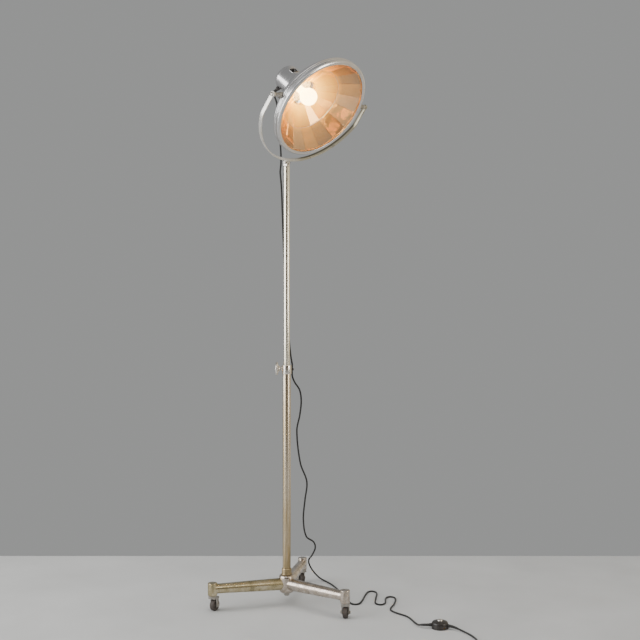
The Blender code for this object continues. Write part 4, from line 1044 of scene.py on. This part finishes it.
def make_base():
    own = upright(COLUMN.x, COLUMN.y)
    hub = lathe("hub_cast", [
        (LOWER_RADIUS + GAP, HUB_TOP), (LOWER_RADIUS + GAP, LOWER_BOTTOM - GAP),
        (0.0058, LOWER_BOTTOM - GAP), (0.0058, HUB_BOTTOM), (0.0150, HUB_BOTTOM),
        (0.0225, HUB_BOTTOM + 0.004), (HUB_RADIUS, HUB_BOTTOM + 0.011),
        (HUB_RADIUS, HUB_TOP - 0.008), (0.0255, HUB_TOP - 0.003), (0.0225, HUB_TOP)], own,
        LEG_SILVER, "stand", segments=72, round_by=0.0022)
    stand_for(hub, "nickel_worn", "base_hub")
    foot = lathe("foot_collar_turned", [
        (LOWER_RADIUS + GAP, HUB_TOP + GAP), (0.0186, HUB_TOP + GAP), (0.0186, HUB_TOP + 0.0040),
        (0.0170, HUB_TOP + 0.0052), (0.0170, 0.1240), (0.0155, 0.1270), (LOWER_RADIUS + GAP, 0.1270)],
        own, WORN, "stand", segments=64, round_by=0.0010)
    stand_for(foot, "nickel_worn", "column_foot_collar")
    for side, azimuth in LEG_AZIMUTHS.items():
        make_leg(side, azimuth, LEG_BRASSY if side == "left" else LEG_SILVER)


def make_leg(side, azimuth, finish):
    around = Matrix.Translation(COLUMN) @ Matrix.Rotation(math.radians(azimuth), 4, "Z")
    rise = math.atan2(LEG_END_HEIGHT - LEG_ROOT_HEIGHT, PIVOT_RADIUS)
    arm_frame = around @ Matrix.Translation((0, 0, LEG_ROOT_HEIGHT)) @ Matrix.Rotation(-rise, 4, "Y")
    arm = lathe(f"leg_{side}_cast", [
        (0, 0.010), (LEG_ROOT_RADIUS, 0.010), (LEG_ROOT_RADIUS, 0.045),
        (LEG_ROOT_RADIUS - 0.0011, 0.110), (LEG_END_RADIUS, PIVOT_RADIUS - 0.010),
        (LEG_END_RADIUS * 0.94, PIVOT_RADIUS - 0.001), (LEG_END_RADIUS * 0.80, PIVOT_RADIUS + 0.005),
        (0, PIVOT_RADIUS + 0.009)], arm_frame, finish, None, segments=44)
    end = around @ Vector((PIVOT_RADIUS, 0, 0))
    boss = lathe("boss", filleted([
        (0, BOSS_BOTTOM), (BOSS_RADIUS, BOSS_BOTTOM), (BOSS_RADIUS, BOSS_TOP), (0, BOSS_TOP)],
        0.0028, closed=False, steps=4), upright(end.x, end.y), finish, None, segments=50)
    carve(arm, boss, "UNION")
    carve(arm, rod(STEM_RADIUS + GAP, BOSS_BOTTOM - 0.010, BOSS_TOP - 0.008, upright(end.x, end.y), 29))
    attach(carve(arm, rod(HUB_RADIUS + 2 * GAP, 0.0, 0.14, upright(COLUMN.x, COLUMN.y), 83)), "stand")
    stand_for(arm, "nickel_worn", f"leg_{side}")


def make_wheels():
    half = WHEEL_WIDTH / 2
    for side in LEG_AZIMUTHS:
        joint = JOINTS[f"wheel_{side}_roll"]
        outline = filleted([
            (0.0034, -half + 0.0004), (0.0078, -half + 0.0004), (0.0086, -half + 0.0022),
            (0.0138, -half + 0.0022), (0.0150, -half + 0.0002), (0.0182, -half),
            (WHEEL_RADIUS, -half + 0.0026), (WHEEL_RADIUS, half - 0.0026), (0.0182, half),
            (0.0150, half - 0.0002), (0.0138, half - 0.0022), (0.0086, half - 0.0022),
            (0.0078, half - 0.0004), (0.0034, half - 0.0004)], 0.0009)
        wheel = lathe(f"wheel_{side}_tyre", outline, aimed(joint["pos_m"], joint["axis"]), TYRE,
                      f"wheel_{side}", segments=64)
        stand_for(wheel, "wheel_rubber", f"caster_{side}_wheel")


# ---------------------------------------------------------------- foot switch and plug

def make_switch():
    own = upright(SWITCH.x, SWITCH.y)
    base = lathe("switch_base_plate", [
        (0, 0.0002), (0.0275, 0.0002), (0.0275, 0.0040), (0.0235, 0.0040), (0.0235, 0.0060),
        (0, 0.0060)], own, BLACK, "stand", segments=72, round_by=0.0008)
    stand_for(base, "black_plastic", "switch_base")
    cover = lathe("switch_cover_moulded", [
        (0.0275, 0.0043), (0.0275, 0.0090), (0.0271, 0.0096), (0.0271, 0.0104), (0.0275, 0.0110),
        (0.0272, 0.0165), (0.0258, 0.0205), (0.0225, 0.0232), (0.0150, 0.0243), (0.0135, 0.0249),
        (0.0100, 0.0249), (0.0092, 0.0240), (0.0092, 0.0225), (0.0125, 0.0225), (0.0215, 0.0212),
        (0.0240, 0.0170), (0.0240, 0.0043)], own, BLACK, None, segments=72, round_by=0.0010)
    for turn in SWITCH_TURNS:
        way = Matrix.Rotation(math.radians(turn), 4, "Z")
        carve(cover, rod(0.0050, 0.015, 0.040,
                         Matrix.Translation((SWITCH.x, SWITCH.y, FLEX_HEIGHT)) @ way, 31))
    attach(cover, "stand")
    stand_for(cover, "black_plastic", "switch_cover")
    button = lathe("switch_button_cap", [
        (0, 0.0160), (0.0120, 0.0160), (0.0120, 0.0220), (0.0088, 0.0220), (0.0088, 0.0275),
        (0.0075, 0.0290), (0, 0.0294)], own, NICKEL, "foot_button", segments=48, round_by=0.0008)
    stand_for(button, "nickel_bright", "switch_button")
    make_spring()


def make_spring():
    """The button's return spring, wound from wire."""
    low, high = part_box("switch_spring")
    foot, top, steps = low.z + SPRING_WIRE, high.z - SPRING_WIRE, SPRING_TURNS * 24
    reach = (high.x - low.x) / 2 - SPRING_WIRE
    line = [Vector((SWITCH.x + reach * math.cos(math.tau * step / 24),
                    SWITCH.y + reach * math.sin(math.tau * step / 24),
                    foot + (top - foot) * step / steps)) for step in range(steps + 1)]
    wire = link("switch_spring_wire", tube_mesh("switch_spring_wire", line, SPRING_WIRE, sides=10), STEEL)
    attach(wire, "stand")
    stand_for(wire, "steel", "switch_spring")
    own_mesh(wire)


SPRING_WIRE, SPRING_TURNS = 0.0005, 5    # half the wire's thickness, and the turns in the spring


def make_plug():
    low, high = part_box("plug_body")
    middle, height = (low.x + high.x) / 2, (low.z + high.z) / 2
    own = aimed((middle, low.y, height), (0, 1, 0))
    ribs = []
    for number in range(5):
        along = 0.0285 + number * 0.0028
        ribs += [(0.0160, along), (0.0160, along + 0.0012), (0.0152, along + 0.0016),
                 (0.0152, along + 0.0024)]
    body = lathe("plug_shell", [
        (0.0034, 0), (0.0055, 0), (0.0075, 0.010), (0.0150, 0.022), (0.0160, 0.026)] + ribs + [
        (0.0160, 0.0440), (0.0145, 0.0460), (0.0030, 0.0460), (0.0030, 0.0100), (0.0034, 0.0100)],
        own, BLACK, "stand", segments=64, round_by=0.0005)
    stand_for(body, "black_plastic", "plug_body")
    cap = lathe("plug_face", [(0, 0.0440), (0.0031, 0.0440), (0.0031, 0.0459), (0, 0.0459)], own, BLACK,
                "stand", segments=24)
    pins = []
    for hand in (-1, 1):
        shifted_frame = own @ Matrix.Translation((0, 0.0095 * hand, 0))
        pin = lathe(f"plug_pin_{(hand + 3) // 2}", [
            (0, 0.0420), (0.0023, 0.0420), (0.0023, 0.0650), (0, 0.0650)],
            shifted_frame, BRASS, "stand", segments=28, round_by=0.0008)
        pins.append(pin)
    return [body, cap] + pins


YOKE_NICKEL = yoke_finish()
TUBE_NICKEL = nickel("tube_nickel", (0.92, 0.87, 0.74), (0.66, 0.54, 0.34), 0.35, 0.20, 0.27,
                     specks=0.05, haze=0.05, drawn=0.005)
make_shell()
make_cap()
make_mirrors()
make_rings()
make_lamp()
make_yoke()
make_column()
make_base()
make_wheels()
make_switch()
plug_pieces = make_plug()
head_sleeve = taper("flex_sleeve_head", part_of(FLEX["flex_head"][1], 0.024), "head")
switch_in_sleeve = taper("flex_sleeve_switch_in", part_of(FLEX["flex_lower"][1], 0.022, True),
                         "stand", 0.0043)
switch_out_sleeve = taper("flex_sleeve_switch_out", part_of(FLEX["flex_mains"][1], 0.022),
                          "stand", 0.0043)
plug_sleeve = taper("flex_sleeve_plug", part_of(FLEX["flex_mains"][1], 0.026, True), "stand", 0.0052)
declare("flex_head", ["cord_head", "cord_yoke"])
declare("flex_swivel", ["cord_swivel"])
declare("flex_column", ["cord_column"])
declare("flex_slack", ["cord_column"])
declare("flex_lower", ["cord_lower"])
declare("flex_mains", ["cord_mains", "cord_coil"])

make_camera()
make_lights()
make_world()
floor_mesh = bpy.data.meshes.new("floor")
floor_end = COLUMN.y + FLOOR_BEHIND
floor_mesh.from_pydata([(-FLOOR_SIDE, -FLOOR_FRONT, 0), (FLOOR_SIDE, -FLOOR_FRONT, 0),
                        (FLOOR_SIDE, floor_end, 0), (-FLOOR_SIDE, floor_end, 0)], [], [(0, 1, 2, 3)])
floor_finish = Finish("floor_pale", Roughness=0.6)
floor_finish.colour(floor_finish.ramp(floor_finish.noise(3.0), (0.3, (0.50, 0.50, 0.49)),
                                      (0.7, (0.56, 0.56, 0.55))))
floor = link("floor", floor_mesh, floor_finish.material)
